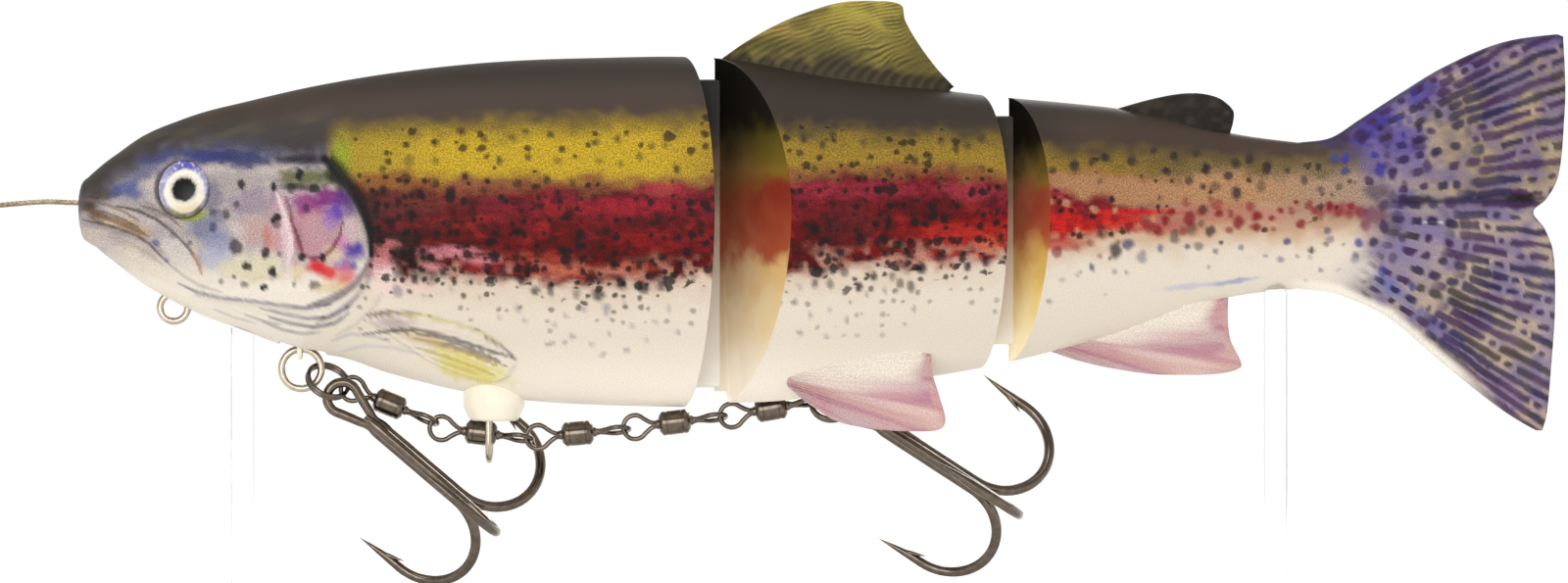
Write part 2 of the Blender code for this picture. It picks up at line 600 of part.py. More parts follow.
def leader_end_frame():
    """Matrix at the leader's far end, with X running on along the leader."""
    last, before = Vector(LEADER_ROUTE[-1]), Vector(LEADER_ROUTE[-2])
    heading = (last - before).to_track_quat("X", "Z").to_matrix().to_4x4()
    return Matrix.Translation(last * MM) @ heading


def end_piece(item, distance):
    """Carry a piece made along X to the leader's end, a distance beyond it in millimetres."""
    item.matrix_world = leader_end_frame() @ Matrix.Translation(Vector((distance * MM, 0, 0)))
    return baked(item)


def build_leader_loop():
    """Teardrop loop of the leader's wire beyond the crimp."""
    length, half = END_LOOP_LENGTH, END_LOOP_HALF_WIDTH
    arc = [
        (length - half + half * math.cos(a), 0, half * math.sin(a))
        for a in (math.radians(-110 + 22 * i) for i in range(11))
    ]
    loop = wire("loop", [(0, 0, -0.1), *arc, (0, 0, 0.1)], LEADER_RADIUS, cyclic=True, resolution=1)
    return end_piece(loop, CRIMP_LENGTH + 2 * GAP / MM + LEADER_RADIUS)


def build_base():
    """Flat stand base with eased edges."""
    length, depth, height = BASE_SIZE
    x_range = (BASE_CENTRE_X - length / 2, BASE_CENTRE_X + length / 2)
    base = box(x_range, (-depth / 2, depth / 2), (0.0, height))
    ease = base.modifiers.new("ease", "BEVEL")
    ease.width = BASE_BEVEL * MM
    ease.segments = 2
    return baked(base)


def build_rod(x):
    """Rod from the base to just below the body."""
    rod = rod_up("rod", x, ROD_RADIUS, BASE_SIZE[2] + GAP / MM, 60.0)
    return combine(rod, trout_form(x - 12.0, min(x + 12.0, STALK_END_X), grow=GAP / MM), "DIFFERENCE")


class Model:
    """The finished pieces: names them, gives each its finish and hangs it on its empty."""

    def __init__(self):
        self.collection = make_collection(COLLECTION_NAME)
        self.materials = {name: make_material(name) for name in FINISHES}
        self.empties = {}

    def empty(self, name, position, turn=None):
        """Empty on a joint's axis, at a position in millimetres."""
        item = bpy.data.objects.new(name, None)
        item.matrix_world = Matrix.Translation(Vector(position) * MM) @ (turn or Matrix.Identity(4))
        self.collection.objects.link(item)
        self.empties[name] = item

    def add(self, name, item, finish, parent=None, local=False):
        """Keep a piece: a local one is placed by its empty, another keeps its world place."""
        item.name = item.data.name = name
        for holder in list(item.users_collection):
            holder.objects.unlink(item)
        self.collection.objects.link(item)
        item.data.materials.clear()
        item.data.materials.append(self.materials[finish])
        item.data.shade_smooth()
        item.data.set_sharp_from_angle(angle=math.radians(35))
        if parent:
            item.parent = self.empties[parent]
            if not local:
                bpy.context.view_layer.update()
                item.matrix_parent_inverse = item.parent.matrix_world.inverted()


def add_front_section(model):
    """Head, front trunk, eyes, pectoral fins and the first hinge strip."""
    model.add("head", build_head(), "body_print")
    model.add("lower_jaw", build_lower_jaw(), "body_print")
    model.add("front_trunk", build_front_trunk(), "body_print")
    for name, side in (("left", -1), ("right", 1)):
        model.add(f"eye_{name}", eye_ball(side), "eye")
        gill_cover = flank_plate(GILL_COVER_OUTLINE, GILL_COVER_THICKNESS, side)
        model.add(f"gill_cover_{name}", gill_cover, "body_print")
        model.add(f"pectoral_fin_{name}", flank_plate(PECTORAL_OUTLINE, PECTORAL_THICKNESS, side), "fin_print")
    front_start = FRONT_GROOVE_X + GAP / MM + FRONT_GROOVE_SLOPE * WEB_HALF_THICKNESS
    model.add("front_web", web(front_start, MIDDLE_HINGE_X - GAP / MM, FRONT_WEB_Z), "joint_plastic")


def add_middle_section(model):
    """Middle trunk, dorsal and pelvic fins and the second hinge strip, on the first hinge."""
    model.empty("middle_hinge", (MIDDLE_HINGE_X, 0, 0))
    model.add("middle_trunk", build_middle_trunk(), "body_print", "middle_hinge")
    dorsal = median_fin(DORSAL_OUTLINE, 80.0, 93.5, FIN_ROOT_HALF_THICKNESS, (-17.0, 27.0))
    model.add("dorsal_fin", dorsal, "fin_print", "middle_hinge")
    for name, side in (("left", -1), ("right", 1)):
        model.add(f"pelvic_fin_{name}", build_pelvic_fin(side), "fin_print", "middle_hinge")
    rear_start = MIDDLE_GROOVE_X + GAP / MM + MIDDLE_GROOVE_SLOPE * WEB_HALF_THICKNESS
    model.add("rear_web", web(rear_start, TAIL_HINGE_X - GAP / MM, REAR_WEB_Z), "joint_plastic", "middle_hinge")


def add_tail_section(model):
    """Tail trunk and its three fins, on the second hinge."""
    model.empty("tail_hinge", (TAIL_HINGE_X, 0, 0))
    model.add("tail_trunk", build_tail_trunk(), "body_print", "tail_hinge")
    adipose = median_fin(ADIPOSE_OUTLINE, 74.0, 81.0, ADIPOSE_HALF_THICKNESS, (22.0, STALK_END_X))
    model.add("adipose_fin", adipose, "fin_print", "tail_hinge")
    anal = median_fin(ANAL_OUTLINE, 55.0, 42.0, FIN_ROOT_HALF_THICKNESS, (22.0, STALK_END_X))
    model.add("anal_fin", anal, "fin_print", "tail_hinge")
    model.add("caudal_fin", build_caudal_fin(), "fin_print", "tail_hinge")


def add_rig(model):
    """Loops, rings, post, swivels and hooks."""
    chin = combine(ring("chin", CHIN_LOOP), trout_form(-96.0, -76.0, grow=GAP / MM), "DIFFERENCE")
    model.add("chin_loop", chin, "bright_wire")
    model.add("belly_post", build_belly_post(), "clear_post")
    post_loop = upright_loop(
        (POST_LOOP_X, 0.0, POST_LOOP_ARC_Z), POST_LOOP_RADIUS, POST_LOOP_WIRE, POST_BOTTOM_Z - GAP / MM
    )
    model.add("belly_loop", post_loop, "bright_wire")
    exit_loop = upright_loop(EXIT_LOOP["centre"], EXIT_LOOP["radius"], EXIT_LOOP["wire"], EXIT_POCKET[2] - GAP / MM)
    model.add("leader_exit_loop", exit_loop, "clear_post")
    model.add("belly_ring", ring("belly_ring", BELLY_RING), "bright_wire")
    lean, slope = FRONT_SPLIT_RING_TURN
    turn = Matrix.Rotation(math.radians(slope), 3, "Y") @ Matrix.Rotation(math.radians(lean), 3, "X")
    model.add("front_split_ring", ring("split", FRONT_SPLIT_RING, turn), "black_nickel")
    turn = Matrix.Rotation(math.radians(REAR_SPLIT_RING_TURN_DEG), 3, "X")
    model.add("rear_split_ring", ring("split", REAR_SPLIT_RING, turn), "black_nickel", "middle_hinge")
    for number, (centre, droop) in enumerate(SWIVEL_BARRELS, start=1):
        axis = f"swivel_{number}_axis"
        model.empty(axis, centre, Matrix.Rotation(math.radians(droop), 4, "Y"))
        model.add(f"swivel_{number}_wire", swivel_wire(), "black_nickel", axis, local=True)
        model.add(f"swivel_{number}_barrel", swivel_barrel(), "black_nickel", axis, local=True)
    for name, eye, droop in (
        ("front", FRONT_HOOK_EYE, FRONT_HOOK_DROOP_DEG),
        ("rear", REAR_HOOK_EYE, REAR_HOOK_DROOP_DEG),
    ):
        pivot = f"{name}_hook_pivot"
        model.empty(pivot, eye, Matrix.Rotation(math.radians(droop), 4, "Y"))
        model.add(f"{name}_treble_hook", treble_hook(), "black_nickel", pivot, local=True)


def add_leader(model):
    """Wire leader with its crimp and end loop."""
    model.add("leader_wire", wire("leader", leader_points(), LEADER_RADIUS), "bright_wire")
    crimp = cylinder("crimp", CRIMP_RADIUS, CRIMP_LENGTH, sides=14, bevel=0.2)
    model.add("leader_crimp", end_piece(crimp, CRIMP_LENGTH / 2 + GAP / MM), "bright_wire")
    model.add("leader_loop", build_leader_loop(), "bright_wire")


def add_stand(model):
    """Base plate and two rods."""
    model.add("stand_base", build_base(), "stand")
    for name, x in ROD_XS.items():
        model.add(name, build_rod(x), "clear_rod")


def main():
    clear_scene()
    model = Model()
    add_stand(model)
    add_front_section(model)
    add_middle_section(model)
    add_tail_section(model)
    add_rig(model)
    add_leader(model)


main()
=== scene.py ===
"""Jointed trout lure on its display stand: the visual model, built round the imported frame.

Lengths inside the classes are in millimetres and are scaled to metres as each mesh is made. The nose
points to -X, the left flank to -Y and the back to +Z.
"""

import logging
import math
from collections.abc import Callable, Sequence
from dataclasses import dataclass, field
from enum import Enum

import bmesh
import bpy
import numpy as np
from bmesh.types import BMEdge, BMesh, BMVert
from bpy.types import Material, Node, Object
from bpy.types import NodeSocket as Socket
from mathutils import Matrix, Vector

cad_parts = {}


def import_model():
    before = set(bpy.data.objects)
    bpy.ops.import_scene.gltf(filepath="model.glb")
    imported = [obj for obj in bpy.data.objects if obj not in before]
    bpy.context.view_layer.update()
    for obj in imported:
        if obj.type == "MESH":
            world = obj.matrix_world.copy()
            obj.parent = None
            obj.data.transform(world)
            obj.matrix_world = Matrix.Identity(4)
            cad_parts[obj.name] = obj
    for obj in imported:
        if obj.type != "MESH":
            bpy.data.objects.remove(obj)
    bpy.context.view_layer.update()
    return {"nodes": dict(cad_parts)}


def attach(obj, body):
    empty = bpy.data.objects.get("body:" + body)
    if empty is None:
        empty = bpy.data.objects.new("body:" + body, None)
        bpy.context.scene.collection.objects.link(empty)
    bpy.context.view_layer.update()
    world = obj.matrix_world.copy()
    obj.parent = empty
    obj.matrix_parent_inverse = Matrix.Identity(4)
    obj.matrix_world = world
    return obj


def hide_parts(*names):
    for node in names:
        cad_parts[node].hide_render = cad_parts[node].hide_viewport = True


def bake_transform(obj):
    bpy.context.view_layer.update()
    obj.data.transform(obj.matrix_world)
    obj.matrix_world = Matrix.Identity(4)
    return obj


MM = 0.001
WELD = 1e-4
SEAM = 1e-3
LOG = logging.getLogger("trout_lure")

Array = np.ndarray
Point = tuple[float, float, float]
Pair = tuple[float, float]
Pairs = Sequence[Pair]
Colour = int
Stops = tuple[tuple[float, Colour], ...]


# ---- Small mathematics ----

def linear(colour: Colour) -> Array:
    """Scene-linear value of a display colour, written as its red, green and blue in hexadecimal."""
    share = np.array([colour >> 16, colour >> 8 & 255, colour & 255]) / 255.0
    return np.where(share <= 0.04045, share / 12.92, ((share + 0.055) / 1.055) ** 2.4)


def smooth(value: Array, low: float | Array, high: float | Array) -> Array:
    """Ease from 0 at the low end to 1 at the high end."""
    t = np.clip((value - low) / (high - low), 0.0, 1.0)
    return t * t * (3.0 - 2.0 * t)


def bump(value: Array, centre: float, reach: float) -> Array:
    """Rounded bump of height 1 about a centre, gone at its reach."""
    return 1.0 - smooth(np.abs(value - centre), 0.0, reach)


def hashed(a: Array, b: Array, seed: float) -> Array:
    """Repeatable random share for each pair of whole numbers."""
    wave = np.sin(a * 127.1 + b * 311.7 + seed * 74.7) * 43758.5453
    return wave - np.floor(wave)


def value_noise(u: Array, v: Array, seed: float = 0.0) -> Array:
    """Smooth noise from 0 to 1 with features about one unit across."""
    a, b = np.floor(u), np.floor(v)
    fu, fv = smooth(u - a, 0.0, 1.0), smooth(v - b, 0.0, 1.0)
    low = hashed(a, b, seed) * (1 - fu) + hashed(a + 1, b, seed) * fu
    high = hashed(a, b + 1, seed) * (1 - fu) + hashed(a + 1, b + 1, seed) * fu
    return low * (1 - fv) + high * fv


class Profile:
    """Smooth line through (position, value) pairs."""

    def __init__(self, pairs: Pairs) -> None:
        """Keep the pairs and their averaged slopes."""
        self.x = np.array([p[0] for p in pairs], float)
        self.v = np.array([p[1] for p in pairs], float)
        low = np.maximum(np.arange(len(pairs)) - 1, 0)
        high = np.minimum(np.arange(len(pairs)) + 1, len(pairs) - 1)
        self.slope = (self.v[high] - self.v[low]) / (self.x[high] - self.x[low])

    def at(self, x: Array | float) -> Array:
        """Value at each position, held level beyond the ends."""
        x = np.clip(np.asarray(x, float), self.x[0], self.x[-1])
        i = np.clip(np.searchsorted(self.x, x) - 1, 0, len(self.x) - 2)
        span = self.x[i + 1] - self.x[i]
        t = (x - self.x[i]) / span
        return (
            (2 * t**3 - 3 * t**2 + 1) * self.v[i]
            + (t**3 - 2 * t**2 + t) * self.slope[i] * span
            + (3 * t**2 - 2 * t**3) * self.v[i + 1]
            + (t**3 - t**2) * self.slope[i + 1] * span
        )


class Track:
    """Line through (x, z) points, read by its share of length."""

    def __init__(self, points: Pairs) -> None:
        """Measure the line once."""
        self.points = np.array(points, float)
        steps = np.hypot(*np.diff(self.points, axis=0).T)
        length = np.concatenate([[0.0], np.cumsum(steps)])
        share = length / length[-1]
        self.across = Profile(list(zip(share, self.points[:, 0], strict=True)))
        self.up = Profile(list(zip(share, self.points[:, 1], strict=True)))

    def at(self, share: Array) -> tuple[Array, Array]:
        """Point at each share of the length, as arrays of x and z."""
        return self.across.at(share), self.up.at(share)

    def gap(self, x: Array, z: Array) -> tuple[Array, Array]:
        """Distance from each point to the line, and the share of length where it is nearest."""
        best = np.full(x.shape, 1e9)
        where = np.zeros(x.shape)
        count = len(self.points) - 1
        for k in range(count):
            (ax, az), (bx, bz) = self.points[k], self.points[k + 1]
            dx, dz = bx - ax, bz - az
            t = np.clip(((x - ax) * dx + (z - az) * dz) / (dx * dx + dz * dz), 0.0, 1.0)
            d = np.hypot(x - ax - t * dx, z - az - t * dz)
            near = d < best
            best = np.where(near, d, best)
            where = np.where(near, (k + t) / count, where)
        return best, where

    def depth(self, x: Array, z: Array) -> Array:
        """Distance inside the closed line: positive inside it and negative outside."""
        closed = np.vstack([self.points, self.points[:1]])
        inside = np.zeros(x.shape, bool)
        for (ax, az), (bx, bz) in zip(closed[:-1], closed[1:], strict=True):
            if az == bz:
                continue
            crosses = (az > z) != (bz > z)
            inside ^= crosses & (x < (bx - ax) * (z - az) / (bz - az) + ax)
        ring = Track([tuple(p) for p in closed])
        gap, _ = ring.gap(x, z)
        return np.where(inside, gap, -gap)


# ---- Finishes ----

class Wiring:
    """Nodes of one material, with short calls for the kinds the finishes use."""

    def __init__(self, name: str) -> None:
        """Start a material with its shader."""
        self.material = bpy.data.materials.new(name)
        self.material.use_nodes = True
        self.tree = self.material.node_tree
        self.shader = self.tree.nodes["Principled BSDF"]

    def node(self, kind: str, inputs: dict | None = None, **settings: object) -> Node:
        """Add a node, set its properties, and set or link its inputs."""
        made = self.tree.nodes.new(kind)
        for key, value in settings.items():
            setattr(made, key, value)
        for key, value in (inputs or {}).items():
            self.feed(made.inputs[key], value)
        return made

    def feed(self, socket: Socket, value: object) -> None:
        """Link a socket to another, or give it a plain value."""
        if isinstance(value, Socket):
            self.tree.links.new(value, socket)
        else:
            socket.default_value = value

    def math(self, operation: str, a: object, b: object = 0.0) -> Socket:
        """Result of one Math node."""
        return self.node("ShaderNodeMath", {0: a, 1: b}, operation=operation).outputs[0]

    def ease(self, value: object, low: object, high: object, start: float, end: float) -> Socket:
        """Smooth step of a value from a start at the low end to an end at the high one."""
        inputs = {"Value": value, "From Min": low, "From Max": high, "To Min": start, "To Max": end}
        return self.node("ShaderNodeMapRange", inputs, interpolation_type="SMOOTHSTEP").outputs[0]

    def blend(self, share: object, a: object, b: object) -> Socket:
        """Colour mixed from two by a share."""
        made = self.tree.nodes.new("ShaderNodeMix")
        made.data_type = "RGBA"
        for index, value in ((0, share), (6, a), (7, b)):
            self.feed(made.inputs[index], value)
        return made.outputs[2]

    def ramp(self, value: object, stops: Sequence[tuple[float, Colour]]) -> Socket:
        """Colour ramp over a value."""
        made = self.node("ShaderNodeValToRGB", {0: value})
        band = made.color_ramp
        while len(band.elements) < len(stops):
            band.elements.new(0.5)
        for stop, (position, colour) in zip(band.elements, stops, strict=True):
            stop.position = position
            stop.color = (*linear(colour), 1.0)
        return made.outputs[0]

    def attribute(self, name: str) -> Node:
        """Reader of one of the piece's own attributes."""
        return self.node("ShaderNodeAttribute", attribute_name=name)

    def place(self) -> Socket:
        """Object coordinates of the piece, in metres."""
        return self.node("ShaderNodeTexCoord").outputs["Object"]

    def noise(self, vector: object, scale: float, detail: float = 2.0, **inputs: float) -> Node:
        """Noise over a vector."""
        return self.node("ShaderNodeTexNoise", {"Vector": vector, "Scale": scale, "Detail": detail, **inputs})

    def relief(self, height: object, depth: float) -> None:
        """Fine bump under the shader, of a depth in metres."""
        made = self.node("ShaderNodeBump", {"Height": height, "Distance": depth, "Strength": 1.0})
        self.feed(self.shader.inputs["Normal"], made.outputs[0])

    def dress(self, **values: object) -> Material:
        """Set the shader's own sockets by name, with underscores for spaces."""
        for key, value in values.items():
            self.feed(self.shader.inputs[key.replace("_", " ")], value)
        return self.material


@dataclass(frozen=True)
class PlainFinish:
    """Finish of one even colour, with a little wear in its gloss."""

    name: str
    colour: Colour
    roughness: float
    metallic: float = 0.0
    coat: float = 0.0
    transmission: float = 0.0
    index: float = 1.46
    grain: float = 0.0
    grain_scale: float = 900.0

    def make(self) -> Material:
        """Build the material.

        Returns:
            The finished material.
        """
        wiring = Wiring(self.name)
        colour = (*linear(self.colour), 1.0)
        if self.grain:
            tone = wiring.noise(wiring.place(), self.grain_scale, 4.0).outputs[0]
            wiring.feed(
                wiring.shader.inputs["Base Color"],
                wiring.blend(wiring.ease(tone, 0.3, 0.7, 0.0, self.grain), colour, (0.0, 0.0, 0.0, 1.0)),
            )
            wiring.feed(
                wiring.shader.inputs["Roughness"],
                wiring.ease(tone, 0.25, 0.75, self.roughness * 0.8, self.roughness * 1.3),
            )
        else:
            wiring.dress(Base_Color=colour, Roughness=self.roughness)
        return wiring.dress(
            Metallic=self.metallic, Coat_Weight=self.coat, Transmission_Weight=self.transmission,
            IOR=self.index,
        )


@dataclass(frozen=True)
class SpotLayer:
    """One size of printed dark spot."""

    pitch: float
    smallest: float
    largest: float
    softness: float
    channel: str
    shift: float = 0.0


@dataclass(frozen=True)
class PrintFinish:
    """Printed look of the soft plastic: painted colour, fine grain, streaks and random dark spots.

    The attribute print_colour holds the painted colour, with the strength of the streaks in its alpha.
    The attribute print_marks holds the strength of the grain, the cover of large and of small spots, and
    in its alpha the strength of their ink.
    """

    name: str
    roughness: float = 0.48
    coat: float = 0.0
    specular: float = 0.1
    gain: float = 0.9
    spot_ink: Colour = 0x181113
    layers: tuple[SpotLayer, ...] = (
        SpotLayer(3.3, 0.12, 0.27, 0.07, "Green"),
        SpotLayer(2.3, 0.15, 0.28, 0.09, "Green", 37.7),
        SpotLayer(1.7, 0.1, 0.25, 0.13, "Blue", 71.3),
    )

    def spots(self, wiring: Wiring, place: object, ragged: object, layer: SpotLayer, cover: object) -> object:
        """Mask of one layer's spots.

        Args:
            wiring: The material being wired.
            place: Place on the skin, in millimetres.
            ragged: Change of the distance from a spot's middle, which breaks its outline.
            layer: Sizes of the spots.
            cover: Share of the cells that hold a spot.

        Returns:
            Socket of the mask.
        """
        shift = (layer.shift, layer.shift, 0.0)
        shifted = wiring.node("ShaderNodeVectorMath", {0: place, 1: shift}, operation="ADD")
        cells = wiring.node(
            "ShaderNodeTexVoronoi",
            {"Vector": shifted.outputs[0], "Scale": 1.0 / layer.pitch, "Randomness": 0.85},
            voronoi_dimensions="2D",
        )
        chance = wiring.node("ShaderNodeSeparateColor", {0: cells.outputs["Color"]})
        sizes = {"Value": chance.outputs[0], "To Min": layer.smallest, "To Max": layer.largest}
        radius = wiring.node("ShaderNodeMapRange", sizes).outputs[0]
        distance = wiring.math("ADD", cells.outputs["Distance"], ragged)
        outer = wiring.math("ADD", radius, layer.softness)
        inner = wiring.math("SUBTRACT", radius, layer.softness)
        mask = wiring.ease(distance, inner, outer, 1.0, 0.0)
        return wiring.math("MULTIPLY", mask, wiring.math("LESS_THAN", chance.outputs[1], cover))

    def make(self) -> Material:
        """Build the material.

        Returns:
            The finished material.
        """
        wiring = Wiring(self.name)
        place = wiring.attribute("print_place").outputs["Vector"]
        marks = wiring.attribute("print_marks")
        parts = wiring.node("ShaderNodeSeparateColor", {0: marks.outputs["Color"]})
        paint = wiring.attribute("print_colour")

        fine = wiring.noise(place, 4.6, 3.0, Roughness=0.7).outputs[0]
        grain = wiring.math("MULTIPLY", wiring.ease(fine, 0.32, 0.68, -0.5, 0.5), parts.outputs[0])
        stretched = wiring.node("ShaderNodeVectorMath", {0: place, 1: (0.8, 1.5, 1.0)}, operation="MULTIPLY")
        streak = wiring.noise(stretched.outputs[0], 1.0, 4.0, Roughness=0.6).outputs[0]
        streak = wiring.math("MULTIPLY", wiring.ease(streak, 0.36, 0.62, -0.75, 0.35), paint.outputs["Alpha"])
        gain = wiring.math("ADD", wiring.math("ADD", self.gain, grain), streak)
        tinted = wiring.node("ShaderNodeVectorMath", {0: paint.outputs["Color"]}, operation="SCALE")
        wiring.feed(tinted.inputs["Scale"], wiring.math("MAXIMUM", gain, 0.03))
        colour = tinted.outputs[0]

        ragged = wiring.noise(place, 1.3, 3.0, Roughness=0.65).outputs[0]
        ragged = wiring.ease(ragged, 0.25, 0.75, -0.08, 0.08)
        mask: object = 0.0
        for layer in self.layers:
            cover = parts.outputs[layer.channel]
            mask = wiring.math("MAXIMUM", mask, self.spots(wiring, place, ragged, layer, cover))
        mask = wiring.math("MULTIPLY", mask, marks.outputs["Alpha"])
        mask = wiring.math("MULTIPLY", mask, wiring.ease(fine, 0.25, 0.6, 0.8, 1.0))
        colour = wiring.blend(mask, colour, (*linear(self.spot_ink), 1.0))
        wiring.feed(wiring.shader.inputs["Base Color"], colour)
        wiring.relief(fine, 0.00001)
        return wiring.dress(
            Roughness=self.roughness, Coat_Weight=self.coat, Coat_Roughness=0.25,
            Specular_IOR_Level=self.specular,
        )


@dataclass(frozen=True)
class JointFinish:
    """Amber soft plastic of the joint faces, stained by the print at its outer edge. The faces' colours, the
    lower ones and the rear joint's most of all, are partly painted light: lifted against the shade in the
    joint gaps and to stand in for the glow of the translucent plastic.

    Each ramp gives colours at heights in millimetres, near the middle plane and near the flank.
    """

    name: str
    half_width: float
    inner: Stops
    outer: Stops
    roughness: float = 0.42

    def by_height(self, wiring: Wiring, height: object, stops: Stops) -> object:
        """Colour ramp over a height in metres.

        Args:
            wiring: The material being wired.
            height: Socket of the height.
            stops: Heights in millimetres and their colours, from low to high.

        Returns:
            Socket of the colour.
        """
        low, high = stops[0][0], stops[-1][0]
        share = wiring.node(
            "ShaderNodeMapRange", {"Value": height, "From Min": low * MM, "From Max": high * MM}
        ).outputs[0]
        return wiring.ramp(share, [((z - low) / (high - low), colour) for z, colour in stops])

    def make(self) -> Material:
        """Build the material.

        Returns:
            The finished material.
        """
        wiring = Wiring(self.name)
        soft = wiring.noise(wiring.place(), 260.0, 3.0).outputs[0]
        axes = wiring.node("ShaderNodeSeparateXYZ", {0: wiring.place()})
        height = wiring.math("ADD", axes.outputs[2], wiring.ease(soft, 0.3, 0.7, -0.0012, 0.0012))
        reach = wiring.math("DIVIDE", wiring.math("ABSOLUTE", axes.outputs[1]), self.half_width * MM)
        reach = wiring.math("ADD", reach, wiring.ease(soft, 0.3, 0.7, -0.12, 0.12))
        inner = self.by_height(wiring, height, self.inner)
        outer = self.by_height(wiring, height, self.outer)
        colour = wiring.blend(wiring.ease(reach, 0.15, 0.85, 0.0, 1.0), inner, outer)
        wiring.feed(wiring.shader.inputs["Base Color"], colour)
        wiring.relief(wiring.noise(wiring.place(), 900.0, 3.0).outputs[0], 0.00001)
        return wiring.dress(Roughness=self.roughness, Specular_IOR_Level=0.2)


WEB_RAMP = (
    (41, 0xE8E5DE), (54, 0xDCD4C8), (62, 0xBEA892), (69, 0x84684E), (73, 0x443626), (78, 0x1E1912),
    (84, 0x120F0C),
)

FINISHES = {
    "skin": PrintFinish("trout_print"),
    "fin": PrintFinish("fin_print", roughness=0.45),
    "joint": JointFinish(
        "joint_amber", 12.5,
        ((38, 0xF0E7D8), (46, 0xE4D7C1), (52, 0xD6C4A3), (57, 0xC4A680), (60, 0xA85C42), (66, 0x944832),
         (69.5, 0x785A36), (73.5, 0x3E3422), (77, 0x181510), (86, 0x12100D)),
        ((38, 0xF0E6D2), (46, 0xE2D1AF), (52, 0xD6BC8A), (57, 0xCEAA70), (59.5, 0x9E4C30),
         (67.5, 0x842C1E), (69.5, 0x806624), (74, 0x5C501C), (77.5, 0x1C180F), (86, 0x100E0C)),
    ),
    # Brighter copy of the joint amber: painted light against the deeper shade in the rear joint's gap and for
    # the plastic's glow.
    "rear_joint": JointFinish(
        "rear_joint_amber", 8.5,
        ((44.5, 0xFCF2D8), (50, 0xF4E4B8), (55, 0xEAD096), (59, 0xD8AE72), (62, 0xB66C46),
         (66.5, 0xB06448), (69, 0x80643C), (72, 0x3C321E), (74.5, 0x16130E), (81, 0x0E0C0A)),
        ((44.5, 0xFAF0CC), (50, 0xF0E0A0), (55, 0xE6CA76), (59, 0xD2A452), (61.5, 0xAA5030),
         (66.5, 0x9C402E), (68.5, 0x84682A), (72.5, 0x443A1A), (75, 0x16130D), (81, 0x0E0C0A)),
    ),
    "web": JointFinish("hinge_web", 3, WEB_RAMP, WEB_RAMP),
    "eye": PrintFinish("eye_resin", roughness=0.3, coat=0.12, specular=0.15),
    "post": PlainFinish("milky_plastic", 0xEEE5D2, 0.38, coat=0.1, grain=0.05, grain_scale=500),
    "bright": PlainFinish("bright_wire", 0xC4B8A6, 0.24, metallic=1, grain=0.2),
    "nickel": PlainFinish("black_nickel", 0x70655A, 0.15, metallic=1, grain=0.3, grain_scale=1100),
    "cable": PlainFinish("leader_steel", 0x988670, 0.4, metallic=1, grain=0.35, grain_scale=1400),
    "base": PlainFinish("stand_white", 0xE8E8E5, 0.4, grain=0.03, grain_scale=300),
    "acrylic": PlainFinish("clear_acrylic", 0xFAFCFC, 0.03, transmission=1, index=1.2),
    "floor": PlainFinish("studio_floor", 0xFAFAF8, 0.9),
}


class Palette:
    """Materials made once each, when a piece first asks for them."""

    def __init__(self) -> None:
        """Start with nothing made."""
        self.made: dict[str, Material] = {}

    def get(self, key: str) -> Material:
        """Material of one named finish."""
        if key not in self.made:
            self.made[key] = FINISHES[key].make()
        return self.made[key]


PALETTE = Palette()


# ---- Piece making ----

@dataclass(frozen=True)
class Paint:
    """What the print finish reads at each vertex."""

    colour: Array
    marks: Array
    streaks: Array | float = 0.0


PaintRule = Callable[[Array], Paint]


def added(name: str, data: bpy.types.ID) -> Object:
    """Object of a mesh, lamp or camera, put into the scene."""
    item = bpy.data.objects.new(name, data)
    bpy.context.scene.collection.objects.link(item)
    return item


def finished(
    name: str,
    mesh: BMesh,
    keys: Sequence[str],
    body: str,
    replaces: Sequence[str] | None = None,
    smooth_deg: float | None = 60,
    paint: PaintRule | None = None,
    bend: tuple[str, float, float] | None = None,
) -> Object:
    """Turn a bmesh in millimetres into a piece of the model.

    Args:
        name: Name of the piece.
        mesh: Its shape in millimetres, freed here.
        keys: Finishes of its material indices, in order.
        body: CAD body that it rides on.
        replaces: CAD nodes that it stands for, or None for the one of its own name.
        smooth_deg: Angle below which edges are smooth, or None for flat faces.
        paint: Rule for its print, given its vertices in millimetres.
        bend: For a piece that should bend, its second body and the stations where the bend would start and
            end; when given, the piece is only fixed in place and attached to no body.

    Returns:
        The object.
    """
    data = bpy.data.meshes.new(name)
    bmesh.ops.scale(mesh, verts=mesh.verts, vec=Vector((MM, MM, MM)))
    mesh.to_mesh(data)
    mesh.free()
    for key in keys:
        data.materials.append(PALETTE.get(key))
    if paint:
        points = np.zeros(len(data.vertices) * 3, np.float32)
        data.vertices.foreach_get("co", points)
        points = points.reshape(-1, 3) / MM
        look = paint(points)
        streaks = np.broadcast_to(look.streaks, (len(points),))[:, None]
        colour = data.attributes.new("print_colour", "FLOAT_COLOR", "POINT")
        colour.data.foreach_set("color", np.hstack([look.colour, streaks]).astype(np.float32).ravel())
        marks = data.attributes.new("print_marks", "FLOAT_COLOR", "POINT")
        marks.data.foreach_set("color", look.marks.astype(np.float32).ravel())
        if "print_place" not in data.attributes:
            place = data.attributes.new("print_place", "FLOAT_VECTOR", "POINT")
            flat = np.stack([points[:, 0], points[:, 2], np.zeros(len(points))], axis=1)
            place.data.foreach_set("vector", flat.astype(np.float32).ravel())
    item = added(name, data)
    if smooth_deg is not None:
        data.shade_smooth()
        data.set_sharp_from_angle(angle=math.radians(smooth_deg))
    if bend:
        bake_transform(item)
    else:
        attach(item, body)
    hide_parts(*(replaces or (name,)))
    LOG.info("%s: %d faces", name, len(data.polygons))
    return item


